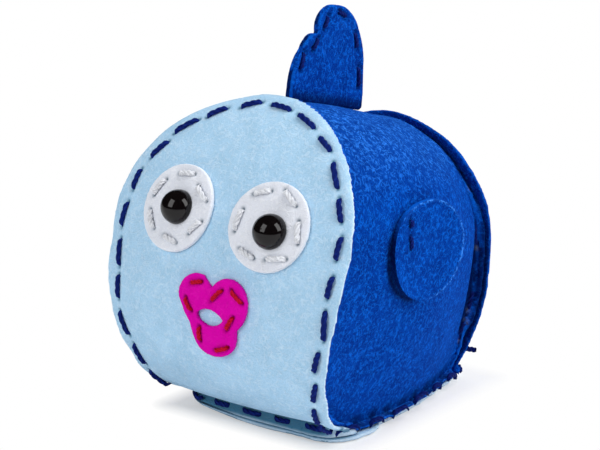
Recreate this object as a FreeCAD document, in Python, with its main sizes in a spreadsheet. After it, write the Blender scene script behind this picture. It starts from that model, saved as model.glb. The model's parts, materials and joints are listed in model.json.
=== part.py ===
import FreeCAD, Part
import math
import os

from FreeCAD import Placement, Rotation, Vector

# A hand-sewn felt fish: five felt panels closed over a loose filling, with felt
# fins, felt eye discs and lips, and two plastic eyes held by washers inside.
# Millimetres. +Z is up, the face looks along -Y, and the origin lies under the
# middle of the base panel, on the surface that the toy stands on.

SIZES = {
    "felt_thickness": 1.4,
    "seat_gap": 0.3,
    # face panel: its front outline, then its bulge in side view
    "face_seam_y": -28.0,
    "face_top": 96.5,
    "face_half_width": 41.5,
    "face_widest_height": 61.0,
    "face_foot_half_width": 27.5,
    "face_corner_radius": 9.0,
    "belly_depth": 32.5,
    "belly_height": 36.0,
    "face_crown_radius": 200.0,
    # back panel
    "back_seam_y": 29.0,
    "back_top": 82.0,
    "back_half_width": 34.4,
    "back_widest_height": 50.0,
    "back_foot_half_width": 24.0,
    "back_corner_radius": 7.0,
    "back_bulge_depth": 10.0,
    "back_bulge_height": 38.0,
    "back_crown_radius": 120.0,
    # how far the seam edges stand outside the stuffed body
    "face_seam_width": 3.0,
    "crest_seam_width": 1.4,
    "back_seam_width": 4.0,
    "base_seam_width": 4.0,
    "base_front_seam_width": 6.2,
    # base panel, inside its seam
    "base_front_y": -32.0,
    "base_back_y": 32.5,
    "base_front_half_width": 24.0,
    "base_half_width": 26.5,
    "base_back_half_width": 19.0,
    "base_corner_radius": 12.0,
    # band: the ring of felt between face and back
    "band_middle_y": 6.0,
    "band_middle_top": 87.0,
    "band_middle_half_width": 38.6,
    "band_middle_widest_height": 56.0,
    "band_rear_y": 19.0,
    "band_rear_top": 83.0,
    "band_rear_half_width": 35.2,
    "band_rear_widest_height": 52.0,
    "base_rear_half_width": 24.0,
    # eyes
    "eye_left_x": -14.6,
    "eye_right_x": 18.1,
    "eye_left_height": 66.8,
    "eye_right_height": 65.3,
    "eye_disc_left_x": -15.6,
    "eye_disc_right_x": 16.6,
    "eye_disc_left_height": 66.8,
    "eye_disc_right_height": 66.6,
    "eye_disc_diameter": 25.4,
    "eye_diameter": 10.0,
    "eye_stem_diameter": 3.6,
    "eye_stem_length": 10.0,
    "eye_stem_rib": 0.25,
    "stem_clearance": 0.1,
    "washer_diameter": 12.0,
    "washer_thickness": 1.0,
    "washer_hub_diameter": 7.0,
    "washer_hub_height": 0.8,
    # mouth
    "mouth_x": 1.7,
    "mouth_height": 40.6,
    "mouth_width": 23.6,
    # top fin
    "top_fin_front_y": -22.4,
    "top_fin_back_y": 12.0,
    "top_fin_rise": 28.0,
    # side fins
    "side_fin_diameter": 29.0,
    "side_fin_y": -11.0,
    "side_fin_height": 55.5,
    "side_fin_lean": 8.0,
    "side_fin_margin": 6.3,
    # sewing thread
    "thread_width": 1.5,
    "thread_height": 0.8,
    "seam_stitch_length": 7.4,
    "seam_stitch_pitch": 10.8,
    "face_stitch_inset": 3.8,
    "crest_stitch_inset": 2.0,
    "back_stitch_inset": 2.9,
    "base_stitch_inset": 0.8,
    "thread_clearance": 0.25,
    "fin_stitch_length": 5.6,
    "fin_stitch_inset": 2.2,
    "side_fin_stitch_rise": 3.4,
    "fine_thread_width": 1.1,
    "fine_thread_height": 0.6,
    "eye_stitch_length": 5.8,
    "eye_stitch_left_turn": 33.0,
    "eye_stitch_right_turn": -1.0,
    "eye_stitch_inset": 3.2,
    "mouth_stitch_length": 4.4,
    "mouth_stitch_inset": 2.6,
}

# Where along the pitch each seam's first stitch lies.
FACE_SEAM_START = 0.82
BACK_SEAM_START = 0.5
LIP_SEAM_START = 0.92
EYE_STITCHES = 6
MOUTH_STITCHES = 7
STEM_RIBS = 3

doc = FreeCAD.newDocument("felt_fish")
sheet = doc.addObject("Spreadsheet::Sheet", "Sizes")
for row, (alias, value) in enumerate(SIZES.items(), start=1):
    sheet.set(f"A{row}", alias)
    sheet.set(f"B{row}", str(value))
    sheet.setAlias(f"B{row}", alias)
doc.recompute()


def size(alias):
    return float(sheet.get(alias))


FELT = size("felt_thickness")
GAP = size("seat_gap")
SEAM_HEIGHT = 1.5 * FELT  # where face and back run into their turned-out foot
REACH = 200.0  # longer than anything in the toy, for the solids that only cut
PANEL_HALF_TURN = 35  # degrees about a panel's crown axis, wider than the panel
UP = Vector(0, 0, 1)
RIGHT = Vector(1, 0, 0)
BACKWARD = Vector(0, 1, 0)
SIDES = {"left": -1, "right": 1}
PARTS = []


def keep(item, label):
    """Name a finished sub-part and put it on the list that is written out."""
    item.Label = label
    PARTS.append(item)
    return item


def feature(name, shape):
    item = doc.addObject("Part::Feature", name)
    item.Shape = shape
    return item


def two_way(kind, name, base, tool):
    """A Part::Common or Part::Cut of two objects of the document."""
    item = doc.addObject(f"Part::{kind}", name)
    item.Base = base
    item.Tool = tool
    return item


def many_way(kind, name, pieces):
    """A Part::MultiCommon or Part::MultiFuse of objects of the document."""
    item = doc.addObject(f"Part::{kind}", name)
    item.Shapes = pieces
    return item


# ------------------------------------------------------------------ outlines


def arch(half_width, top, widest, foot_half_width, foot, y):
    """A closed arch in the plane at y: half an ellipse on two bowed sides."""
    centre = Vector(0, y, widest)
    side = Vector(half_width, y, widest)
    peak = Vector(0, y, top)
    if half_width >= top - widest:
        crown = Part.Ellipse(side, peak, centre).toShape(0, math.pi)
    else:
        crown = Part.Ellipse(peak, side, centre).toShape(-math.pi / 2, math.pi / 2)
    drop = widest - foot
    bow = half_width - foot_half_width
    bow_radius = (bow * bow + drop * drop) / (2 * bow)
    turn = math.asin(drop / bow_radius) / 2
    bowed_x = half_width - bow_radius * (1 - math.cos(turn))
    bowed_z = widest - bow_radius * math.sin(turn)

    def bowed(way):
        return Part.Arc(
            Vector(way * half_width, y, widest),
            Vector(way * bowed_x, y, bowed_z),
            Vector(way * foot_half_width, y, foot),
        ).toShape()

    sole = Part.makeLine(Vector(-foot_half_width, y, foot), Vector(foot_half_width, y, foot))
    return Part.Wire(Part.__sortEdges__([crown, bowed(-1), sole, bowed(1)]))


def outline_prism(wire, corner_radius):
    """The arch run through the whole depth of the toy, its two foot corners rounded."""
    prism = Part.Face(wire).extrude(BACKWARD * REACH)
    corners = [e for e in prism.Edges if e.BoundBox.YLength > REACH - 1 and e.BoundBox.ZMax < FELT]
    return prism.makeFillet(corner_radius, corners)


class Bulge:
    """A stuffed panel. In side view two arcs meet, upright, at its furthest point
    out, and that line is turned about an upright axis to crown the panel."""

    def __init__(self, outward, seam_y, top, depth, height, foot_y, crown_radius):
        self.outward = outward
        self.height = height
        self.top = top
        self.tip_y = seam_y + outward * depth
        self.axis_y = self.tip_y - outward * crown_radius
        rise = top - height
        self.upper = (depth * depth + rise * rise) / (2 * depth)
        foot_depth = abs(self.tip_y - foot_y)
        drop = height - SEAM_HEIGHT
        self.lower = (foot_depth * foot_depth + drop * drop) / (2 * foot_depth)
        self.foot_turn = math.asin(drop / self.lower)
        if foot_depth > self.lower:
            self.foot_turn = math.pi - self.foot_turn

    def arc_point(self, radius, inset, turn):
        """The point on the arc of this radius, turned down from the bulge's tip."""
        centre_y = self.tip_y - self.outward * radius
        reach = radius - inset
        return Vector(
            0,
            centre_y + self.outward * reach * math.cos(turn),
            self.height - reach * math.sin(turn),
        )

    def line(self, inset):
        """The panel's side view, from above its top seam down to its foot."""
        over = math.asin((self.top + 2 * FELT - self.height) / (self.upper - inset))
        upper = [self.arc_point(self.upper, inset, -over * share) for share in (1, 0.5, 0)]
        lower = [self.arc_point(self.lower, inset, self.foot_turn * share) for share in (0, 0.5, 1)]
        return [Part.Arc(*upper).toShape(), Part.Arc(*lower).toShape()], upper[0], lower[2]

    def turned(self, edges, half_turn):
        """The closed outline turned both ways about the crown's upright axis."""
        face = Part.Face(Part.Wire(Part.__sortEdges__(edges)))
        axis = Vector(0, self.axis_y, 0)
        face.rotate(axis, UP, -half_turn)
        return face.revolve(axis, UP, 2 * half_turn)

    def inside(self, inset):
        """Everything behind the panel's surface, set in by this much."""
        edges, first, last = self.line(inset)
        below = Vector(0, last.y, -FELT)
        axis_foot = Vector(0, self.axis_y, -FELT)
        axis_head = Vector(0, self.axis_y, REACH)
        above = Vector(0, first.y, REACH)
        corners = [last, below, axis_foot, axis_head, above, first]
        edges += [Part.makeLine(a, b) for a, b in zip(corners, corners[1:])]
        return self.turned(edges, 90)

    def layer(self, outer, inner):
        """The sheet between two insets, wide enough for any panel."""
        outside, outer_first, outer_last = self.line(outer)
        within, inner_first, inner_last = self.line(inner)
        ends = [Part.makeLine(outer_first, inner_first), Part.makeLine(outer_last, inner_last)]
        return self.turned(outside + within + ends, PANEL_HALF_TURN)

    def radius_at(self, z):
        """The crown's radius at this height, and how fast it grows with height."""
        radius = self.upper if z > self.height else self.lower
        lift = z - self.height
        run = math.sqrt(radius * radius - lift * lift)
        y = self.tip_y - self.outward * (radius - run)
        return abs(self.axis_y - y), -lift / run

    def surface(self, x, z):
        """The point of the panel's outer surface at x, z and its outward normal."""
        radius, growth = self.radius_at(z)
        depth = math.sqrt(radius * radius - x * x)
        point = Vector(x, self.axis_y + self.outward * depth, z)
        normal = Vector(x, self.outward * depth, -radius * growth)
        return point, normal.normalize()


FACE = Bulge(
    -1,
    size("face_seam_y"),
    size("face_top"),
    size("belly_depth"),
    size("belly_height"),
    size("base_front_y"),
    size("face_crown_radius"),
)
BACK = Bulge(
    1,
    size("back_seam_y"),
    size("back_top"),
    size("back_bulge_depth"),
    size("back_bulge_height"),
    size("base_back_y"),
    size("back_crown_radius"),
)

FACE_ARCH = (
    size("face_half_width"),
    size("face_top"),
    size("face_widest_height"),
    size("face_foot_half_width"),
)
BACK_ARCH = (
    size("back_half_width"),
    size("back_top"),
    size("back_widest_height"),
    size("back_foot_half_width"),
)
face_prism = feature(
    "face_outline_prism",
    outline_prism(arch(*FACE_ARCH, 0, -REACH / 2), size("face_corner_radius")),
)
back_prism = feature(
    "back_outline_prism",
    outline_prism(arch(*BACK_ARCH, 0, -REACH / 2), size("back_corner_radius")),
)

# ------------------------------------------------------- the stuffed body's form

# Sections of the band's outer surface, front to back: half-width, crest height,
# height of the widest place, half-width at the foot, and y.
FACE_BAND = (
    size("face_half_width") - size("face_seam_width"),
    size("face_top") - size("crest_seam_width"),
    size("face_widest_height"),
    size("base_front_half_width"),
)
MIDDLE_BAND = (
    size("band_middle_half_width"),
    size("band_middle_top"),
    size("band_middle_widest_height"),
    size("base_half_width"),
)
REAR_BAND = (
    size("band_rear_half_width"),
    size("band_rear_top"),
    size("band_rear_widest_height"),
    size("base_rear_half_width"),
)
BACK_BAND = (
    size("back_half_width") - size("back_seam_width"),
    size("back_top") - size("back_seam_width"),
    size("back_widest_height"),
    size("base_back_half_width"),
)
BAND_SECTIONS = [
    (FACE_BAND, FACE.tip_y - 2 * FELT),
    (FACE_BAND, size("face_seam_y") - 2 * FELT),
    (MIDDLE_BAND, size("band_middle_y")),
    (REAR_BAND, size("band_rear_y")),
    (BACK_BAND, BACK.tip_y + 2 * FELT),
]


def body_loft(name, inset, foot):
    """The stuffed body's side walls, set in by this much, from foot height up."""
    sections = []
    for number, ((half_width, top, widest, foot_half_width), y) in enumerate(BAND_SECTIONS):
        wire = arch(half_width - inset, top - inset, widest, foot_half_width - inset, foot, y)
        sections.append(feature(f"{name}_section_{number}", wire))
    loft = doc.addObject("Part::Loft", name)
    loft.Sections = sections
    loft.Solid = True
    loft.Ruled = False
    return loft


outer_form = body_loft("outer_form", 0, FELT)
inner_form = body_loft("inner_form", FELT, 0)
filling_form = body_loft("filling_form", FELT + GAP, FELT + GAP)
within_face = feature("within_face", FACE.inside(FELT))
within_back = feature("within_back", BACK.inside(FELT))
doc.recompute()


def form_height(x, y):
    """The height of the outer form's top over this place."""
    probe = Part.makeLine(Vector(x, y, size("face_top") / 2), Vector(x, y, REACH))
    return probe.common(outer_form.Shape).BoundBox.ZMax


def form_half_width(y, z):
    """How far the outer form's side lies from the middle plane at this place."""
    probe = Part.makeLine(Vector(0, y, z), Vector(REACH, y, z))
    return probe.common(outer_form.Shape).BoundBox.XMax


def outline_sketch(body, plane_role, name, edges):
    """A sketch of these edges on one of the body's own origin planes."""
    sketch = body.newObject("Sketcher::SketchObject", name)
    plane = next(f for f in body.Origin.OriginFeatures if f.Role == plane_role)
    sketch.AttachmentSupport = [(plane, "")]
    sketch.MapMode = "FlatFace"
    sketch.addGeometry(edges, False)
    return sketch


def pad(body, sketch, name, length_expression, midplane=False):
    extrusion = body.newObject("PartDesign::Pad", name)
    extrusion.Profile = sketch
    extrusion.setExpression("Length", length_expression)
    extrusion.Midplane = midplane
    return extrusion


def base_edges():
    """The base's outline with its seam edge: two bowed sides, flat ends."""
    margin = size("base_seam_width")
    front_y = size("base_front_y") - size("base_front_seam_width")
    back_y = size("base_back_y") + margin
    middle_y = (front_y + back_y) / 2
    front_x, middle_x, back_x = [
        form_half_width(y, SEAM_HEIGHT) + margin
        for y in (size("base_front_y"), middle_y, size("base_back_y"))
    ]
    front = [Vector(way * front_x, front_y, 0) for way in (-1, 1)]
    middle = [Vector(way * middle_x, middle_y, 0) for way in (-1, 1)]
    back = [Vector(way * back_x, back_y, 0) for way in (-1, 1)]
    return [
        Part.LineSegment(front[0], front[1]),
        Part.Arc(front[1], middle[1], back[1]),
        Part.LineSegment(back[1], back[0]),
        Part.Arc(back[0], middle[0], front[0]),
    ]


# ------------------------------------------------------------------ base panel

base_panel = doc.addObject("PartDesign::Body", "BasePanel")
base_sketch = outline_sketch(base_panel, "XY_Plane", "BaseOutline", base_edges())
base_sheet = pad(base_panel, base_sketch, "BaseSheet", "Sizes.felt_thickness")
doc.recompute()
upright = [
    f"Edge{number}"
    for number, edge in enumerate(base_panel.Shape.Edges, start=1)
    if abs(edge.BoundBox.ZLength - FELT) < GAP / 10 and edge.BoundBox.XLength < GAP / 10
]
base_corners = base_panel.newObject("PartDesign::Fillet", "BaseCorners")
base_corners.Base = (base_sheet, upright)
base_corners.setExpression("Radius", "Sizes.base_corner_radius")
base_panel.Tip = base_corners
doc.recompute()
keep(base_panel, "base_panel")

# The layer of seam edges that lies on the base panel all round.
seam_layer = feature("seam_layer", base_panel.Shape.translated(UP * FELT))

# ------------------------------------------------------- face, back and the band


def panel(name, bulge, prism, within, bores):
    """A bulging felt panel with its foot turned out over the base panel's edge."""
    skin = feature(f"{name}_skin", bulge.layer(0, FELT))
    cut_out = two_way("Common", f"{name}_cut_out", skin, prism)
    foot = two_way("Cut", f"{name}_foot", seam_layer, within)
    whole = many_way("MultiFuse", f"{name}_whole", [cut_out, foot])
    for number, bore in enumerate(bores):
        whole = two_way("Cut", f"{name}_bored_{number}", whole, bore)
    return keep(whole, name)


def face_seat(name):
    """Where something named in the sizes sits on the face, and its outward direction."""
    return FACE.surface(size(f"{name}_x"), size(f"{name}_height"))


bores = {}
for side in SIDES:
    point, normal = face_seat(f"eye_{side}")
    bore = doc.addObject("Part::Cylinder", f"eye_bore_{side}")
    bore.setExpression("Radius", "Sizes.eye_stem_diameter / 2 + Sizes.stem_clearance")
    bore.setExpression("Height", "Sizes.eye_stem_length")
    bore.Placement = Placement(
        point - normal * size("eye_stem_length") / 2, Rotation(UP, normal)
    )
    bores[side] = bore

face_panel = panel("face_panel", FACE, face_prism, within_face, list(bores.values()))
back_panel = panel("back_panel", BACK, back_prism, within_back, [])

band_wall = two_way("Cut", "band_wall", outer_form, inner_form)
face_allowance = two_way(
    "Common", "face_allowance", feature("face_under_layer", FACE.layer(FELT, 2 * FELT)), face_prism
)
back_allowance = two_way(
    "Common", "back_allowance", feature("back_under_layer", BACK.layer(FELT, 2 * FELT)), back_prism
)
turned_out = many_way("MultiFuse", "turned_out", [face_allowance, back_allowance, seam_layer])
band_edges = two_way("Cut", "band_edges", turned_out, inner_form)
band_blank = many_way("MultiFuse", "band_blank", [band_wall, band_edges])
side_band = many_way("MultiCommon", "side_band_trimmed", [band_blank, within_face, within_back])
keep(side_band, "side_band")

# -------------------------------------------------------------- eyes and washers

STEM_RADIUS = size("eye_stem_diameter") / 2
STEM_LENGTH = size("eye_stem_length")
# A flat washer on the hollow side of the panel touches it at its rim only.
WASHER_RADIUS = size("washer_diameter") / 2
HOLLOW_RADIUS = FACE.upper - FELT
WASHER_SAG = HOLLOW_RADIUS - math.sqrt(HOLLOW_RADIUS**2 - WASHER_RADIUS**2)
WASHER_SEAT = 2 * FELT + WASHER_SAG  # below the eye's own seat on its felt disc
WASHER_END = WASHER_SEAT + size("washer_thickness") + size("washer_hub_height")


def sketch_lines(points):
    return [Part.LineSegment(a, b) for a, b in zip(points, points[1:])]


def revolved_body(name, edges):
    body = doc.addObject("PartDesign::Body", name)
    sketch = outline_sketch(body, "XZ_Plane", f"{name}Profile", edges)
    turned = body.newObject("PartDesign::Revolution", f"{name}Turned")
    turned.Profile = sketch
    turned.ReferenceAxis = (sketch, ["V_Axis"])
    turned.Angle = 360
    return body


def eye_profile():
    """Half of a domed eye: a round head over a stem whose ribs catch the washer."""
    head = size("eye_diameter") / 2
    rib = STEM_RADIUS + size("eye_stem_rib")
    dome = Part.ArcOfCircle(Part.Circle(Vector(0, 0, 0), UP, head), 0, math.pi / 2)
    first_rib = WASHER_END + GAP
    pitch = (STEM_LENGTH - first_rib - GAP) / STEM_RIBS
    points = [Vector(head, 0, 0), Vector(STEM_RADIUS, 0, 0)]
    for number in range(STEM_RIBS):
        low = -first_rib - number * pitch
        points += [Vector(STEM_RADIUS, low, 0), Vector(rib, low, 0)]
        points.append(Vector(STEM_RADIUS, low - pitch * 0.8, 0))
    points += [Vector(STEM_RADIUS, -STEM_LENGTH, 0), Vector(0, -STEM_LENGTH, 0), Vector(0, head, 0)]
    return [dome] + sketch_lines(points)


def washer_profile():
    """Half of a locking washer: a flat disc with a raised collar about its hole."""
    hole = STEM_RADIUS + size("stem_clearance") / 2
    rim = WASHER_RADIUS
    collar = size("washer_hub_diameter") / 2
    top = -WASHER_SEAT
    flange = top - size("washer_thickness")
    bottom = -WASHER_END
    points = [
        Vector(hole, top, 0),
        Vector(rim, top, 0),
        Vector(rim, flange, 0),
        Vector(collar, flange, 0),
        Vector((collar + hole) / 2, bottom, 0),
        Vector(hole, bottom, 0),
        Vector(hole, top, 0),
    ]
    return sketch_lines(points)


pockets = []
disc_skin = feature("disc_skin", FACE.layer(-FELT, 0))
for side in SIDES:
    disc_point, disc_normal = face_seat(f"eye_disc_{side}")
    blank = doc.addObject("Part::Cylinder", f"eye_disc_blank_{side}")
    blank.setExpression("Radius", "Sizes.eye_disc_diameter / 2")
    blank.Height = 10 * FELT
    blank.Placement = Placement(disc_point - disc_normal * 5 * FELT, Rotation(UP, disc_normal))
    disc = two_way("Common", f"eye_disc_round_{side}", disc_skin, blank)
    keep(two_way("Cut", f"eye_disc_bored_{side}", disc, bores[side]), f"eye_disc_{side}")

    point, normal = face_seat(f"eye_{side}")
    facing = Rotation(UP, normal)
    seat = Placement(point + normal * FELT, facing)
    eye = revolved_body(f"Eye{side.title()}", eye_profile())
    eye.Placement = seat
    keep(eye, f"eye_{side}")

    washer = revolved_body(f"Washer{side.title()}", washer_profile())
    washer.Placement = seat
    keep(washer, f"eye_washer_{side}")

    pocket = doc.addObject("Part::Cylinder", f"eye_pocket_{side}")
    pocket.setExpression("Radius", "Sizes.washer_diameter / 2 + Sizes.seat_gap")
    pocket.setExpression("Height", "Sizes.eye_stem_length + Sizes.seat_gap")
    pocket.Placement = Placement(point + normal * (FELT - STEM_LENGTH - GAP), facing)
    pockets.append(pocket)

# ---------------------------------------------------------------------- filling

filling_trim_face = feature("filling_trim_face", FACE.inside(FELT + GAP))
filling_trim_back = feature("filling_trim_back", BACK.inside(FELT + GAP))
filling = many_way(
    "MultiCommon", "filling_form_trimmed", [filling_form, filling_trim_face, filling_trim_back]
)
for number, pocket in enumerate(pockets):
    filling = two_way("Cut", f"filling_pocketed_{number}", filling, pocket)
keep(filling, "stuffing")

# ------------------------------------------------------------------------ mouth

# A hand-cut pair of lips, in shares of its half width about its middle:
# rounds given by their start, middle and end, from the notch clockwise.
LIPS = [
    [(0.02, 0.64), (0.53, 0.94), (1.03, 0.55)],
    [(1.03, 0.55), (1.03, 0.13), (0.78, -0.25)],
    [(0.78, -0.25), (0.78, -0.51), (0.67, -0.76)],
    [(0.67, -0.76), (0.21, -1.0), (-0.30, -0.86)],
    [(-0.30, -0.86), (-0.49, -0.53), (-0.58, -0.27)],
    [(-0.58, -0.27), (-0.81, 0.03), (-0.97, 0.36)],
    [(-0.97, 0.36), (-0.75, 0.80), (-0.25, 0.89)],
]
LIP_GAP = [
    [(-0.36, 0.02), (-0.03, 0.14), (0.42, -0.05)],
    [(0.42, -0.05), (0.13, -0.24), (-0.19, -0.20)],
    [(-0.19, -0.20), (-0.33, -0.11), (-0.36, 0.02)],
]
MOUTH_SCALE = size("mouth_width") / 2


def rounds(arcs, place):
    """A closed outline of three-point arcs, with a straight edge where it is open."""
    edges = [Part.Arc(*[place(*share) for share in arc]).toShape() for arc in arcs]
    if arcs[-1][-1] != arcs[0][0]:
        edges.append(Part.makeLine(place(*arcs[-1][-1]), place(*arcs[0][0])))
    return Part.Wire(Part.__sortEdges__(edges))


def mouth_place(across, above):
    return Vector(
        size("mouth_x") + across * MOUTH_SCALE,
        FACE.tip_y - 5 * FELT,
        size("mouth_height") + above * MOUTH_SCALE,
    )


lips_wire = rounds(LIPS, mouth_place)
lips_prism = feature("lips_prism", Part.Face(lips_wire).extrude(BACKWARD * 20 * FELT))
gap_prism = feature(
    "gap_prism", Part.Face(rounds(LIP_GAP, mouth_place)).extrude(BACKWARD * 20 * FELT)
)
lips = two_way("Common", "lips", disc_skin, lips_prism)
keep(two_way("Cut", "lips_open", lips, gap_prism), "mouth_patch")
doc.recompute()

# ---------------------------------------------------------------------- top fin

# Two felt layers stand back to back on the crest. Their joined lower edge is
# rounded about the line on which the fin bends over to either side.
FIN_FRONT = size("top_fin_front_y")
FIN_LENGTH = size("top_fin_back_y") - FIN_FRONT
FIN_RISE = size("top_fin_rise")
CREST_STEPS = 16
crest = [
    form_height(0, FIN_FRONT + FIN_LENGTH * step / CREST_STEPS) for step in range(CREST_STEPS + 1)
]
crest_fall = crest[0] - crest[-1]
crest_slope = crest_fall / FIN_LENGTH
crest_bow = max(z - crest[0] + crest_fall * step / CREST_STEPS for step, z in enumerate(crest))
ROLL_LIFT = (FELT + GAP) * math.hypot(1, crest_slope)
HINGE_LIFT = crest_bow + ROLL_LIFT


def fin_place(along, above):
    """A point of the fin: shares of its length and rise, from its front lower corner."""
    foot = crest[0] + HINGE_LIFT - crest_fall * along
    return Vector(0, FIN_FRONT + FIN_LENGTH * along, foot + FIN_RISE * above)


TOP_FIN = [
    [(0, 0), (0.06, 0.31), (0.21, 0.58)],
    [(0.21, 0.58), (0.285, 0.65), (0.36, 0.655)],
    [(0.36, 0.655), (0.375, 0.84), (0.50, 0.97)],
    [(0.50, 0.97), (0.66, 1.0), (0.84, 0.91)],
    [(0.84, 0.91), (0.96, 0.70), (1.015, 0.42)],
    [(1.015, 0.42), (1.014, 0.21), (1.0, 0)],
]
fin_wire = rounds(TOP_FIN, fin_place)
fin_face = Part.Face(fin_wire)
hinge_start = fin_place(0, 0)
hinge_line = fin_place(1, 0) - hinge_start
hinge_way = Vector(hinge_line).normalize()
hinge_down = hinge_way.cross(RIGHT)
ROLL_AXES = {"left": (hinge_down, -RIGHT, hinge_way), "right": (RIGHT, hinge_down, hinge_way)}
for side, way in SIDES.items():
    blade = feature(f"fin_blade_{side}", fin_face.extrude(RIGHT * way * FELT))
    roll = doc.addObject("Part::Cylinder", f"fin_roll_{side}")
    roll.setExpression("Radius", "Sizes.felt_thickness")
    roll.Height = hinge_line.Length
    roll.Angle = 90
    roll.Placement = Placement(hinge_start, Rotation(*ROLL_AXES[side], "ZXY"))
    layer = many_way("MultiFuse", f"fin_layer_{side}", [blade, roll])
    keep(layer, f"top_fin_{side}_layer")

# -------------------------------------------------------------------- side fins

# Each side fin is one felt disc sewn down near its front edge. The sewn margin
# and the flap that swings from it are separate solids, a seat gap apart.
FIN_RADIUS = size("side_fin_diameter") / 2
MARGIN_AT = -FIN_RADIUS + size("side_fin_margin")  # the bend, from the disc's middle
CHORD = math.sqrt(FIN_RADIUS**2 - MARGIN_AT**2)
MARGIN_EDGE = MARGIN_AT - FELT / 2 - GAP
MARGIN_CHORD = math.sqrt(FIN_RADIUS**2 - MARGIN_EDGE**2)
LEAN = math.radians(size("side_fin_lean"))
FIN_Y = size("side_fin_y")
FIN_Z = size("side_fin_height")


def fin_seat_x():
    """How far out the disc's inner side lies at its middle, to clear the band."""
    furthest = 0
    for along in (-1.0, -0.8, -0.6, -0.4, -0.2, 0, 0.3, 0.6):
        y = FIN_Y + along * FIN_RADIUS * math.cos(LEAN)
        half = math.sqrt(1 - along * along) * FIN_RADIUS
        for above in (-1, -0.5, 0, 0.5, 1):
            out = form_half_width(y, FIN_Z + above * half)
            furthest = max(furthest, out - along * FIN_RADIUS * math.sin(LEAN))
    return furthest + GAP


SEAT_X = fin_seat_x()


def segment(cut, chord, rear):
    """The disc in its own plane, kept behind or in front of an upright cut."""
    half_turn = math.atan2(chord, cut)
    circle = Part.Circle(Vector(0, 0, 0), UP, FIN_RADIUS)
    if rear:
        arc = Part.ArcOfCircle(circle, -half_turn, half_turn)
    else:
        arc = Part.ArcOfCircle(circle, half_turn, 2 * math.pi - half_turn)
    edge = Part.LineSegment(Vector(cut, chord, 0), Vector(cut, -chord, 0))
    return [arc, edge]


fin_hinges = {}
for side, way in SIDES.items():
    rearward = Vector(way * math.sin(LEAN), math.cos(LEAN), 0)
    outward = Vector(way * math.cos(LEAN), -math.sin(LEAN), 0)
    inner_middle = Vector(way * SEAT_X, FIN_Y, FIN_Z)
    middle = inner_middle + outward * FELT / 2
    fin_hinges[side] = middle + rearward * MARGIN_AT
    standing = Placement(middle, Rotation(rearward, UP, rearward.cross(UP), "ZXY"))

    margin = doc.addObject("PartDesign::Body", f"SideFinMargin{side.title()}")
    margin_sketch = outline_sketch(
        margin, "XY_Plane", f"MarginOutline{side.title()}", segment(MARGIN_EDGE, MARGIN_CHORD, False)
    )
    pad(margin, margin_sketch, f"MarginSheet{side.title()}", "Sizes.felt_thickness", True)
    margin.Placement = standing
    keep(margin, f"side_fin_{side}_sewn_edge")

    flap = doc.addObject("PartDesign::Body", f"SideFinFlap{side.title()}")
    flap_sketch = outline_sketch(
        flap, "XY_Plane", f"FlapOutline{side.title()}", segment(MARGIN_AT, CHORD, True)
    )
    pad(flap, flap_sketch, f"FlapSheet{side.title()}", "Sizes.felt_thickness", True)
    flap.Placement = standing
    bend = doc.addObject("Part::Cylinder", f"side_fin_bend_{side}")
    bend.setExpression("Radius", "Sizes.felt_thickness / 2")
    bend.Height = 2 * CHORD
    bend.Placement = Placement(fin_hinges[side] - UP * CHORD, Rotation())
    keep(many_way("MultiFuse", f"side_fin_swing_{side}", [flap, bend]), f"side_fin_{side}_flap")

# ----------------------------------------------------------------------- thread

THREAD = (size("thread_width"), size("thread_height"))
FINE_THREAD = (size("fine_thread_width"), size("fine_thread_height"))
# A stitch's section, in shares of its width and height, and how it thins at its ends.
STITCH_RING = [(-0.3, 0), (0.3, 0), (0.5, 0.45), (0.3, 1), (-0.3, 1), (-0.5, 0.45)]
STITCH_STATIONS = [(-0.5, 0.5), (-0.3, 1), (0.3, 1), (0.5, 0.5)]


def stitch(centre, along, outward, length, thread):
    """One visible stitch, lying on the surface and thinner where it dives in."""
    width, height = thread
    along = Vector(along).normalize()
    outward = Vector(outward).normalize()
    across = outward.cross(along).normalize()
    rings = []
    for station, share in STITCH_STATIONS:
        at = centre + outward * size("thread_clearance") + along * length * station
        ring = [at + across * x * width * share + outward * z * height * share for x, z in STITCH_RING]
        rings.append(Part.makePolygon(ring + [ring[0]]))
    return Part.makeLoft(rings, True, True)


def spaced(points, pitch, start=0.5):
    """Evenly spaced places along a run of points, each with its direction. The
    first lies this share of the pitch from the run's beginning."""
    lengths = [0.0]
    for a, b in zip(points, points[1:]):
        lengths.append(lengths[-1] + (b - a).Length)
    count = max(1, round(lengths[-1] / pitch))
    places = []
    step = 0
    for number in range(count):
        wanted = lengths[-1] * (number + start) / count
        while lengths[step + 1] < wanted:
            step += 1
        share = (wanted - lengths[step]) / (lengths[step + 1] - lengths[step])
        a, b = points[step], points[step + 1]
        places.append((a + (b - a) * share, b - a))
    return places


def panel_seam(bulge, outline, inset, crest_inset, start):
    """Stitches on a panel, set in from its edge, over the crest from foot to foot."""
    half_width, top, widest, foot_half_width = outline
    run = arch(half_width - inset, top - crest_inset, widest, foot_half_width - inset, 0, 0)
    lowest = 4 * FELT
    flat = [p for p in run.discretize(Distance=1.0) if p.z > lowest]
    flat.sort(key=lambda p: math.atan2(p.x, p.z - size("belly_height")))
    surface = [bulge.surface(p.x, p.z)[0] for p in flat]
    solids = []
    for place, along in spaced(surface, size("seam_stitch_pitch"), start):
        point, normal = bulge.surface(place.x, place.z)
        solids.append(stitch(point, along, normal, size("seam_stitch_length"), THREAD))
    return Part.makeCompound(solids)


def thread(name, solids):
    keep(feature(f"{name}_stitches", Part.makeCompound(solids)), name)


face_insets = (size("face_stitch_inset"), size("crest_stitch_inset"))
back_insets = (size("back_stitch_inset"), size("back_stitch_inset"))
thread("face_seam_thread", [panel_seam(FACE, FACE_ARCH, *face_insets, FACE_SEAM_START)])
thread("back_seam_thread", [panel_seam(BACK, BACK_ARCH, *back_insets, BACK_SEAM_START)])

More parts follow.
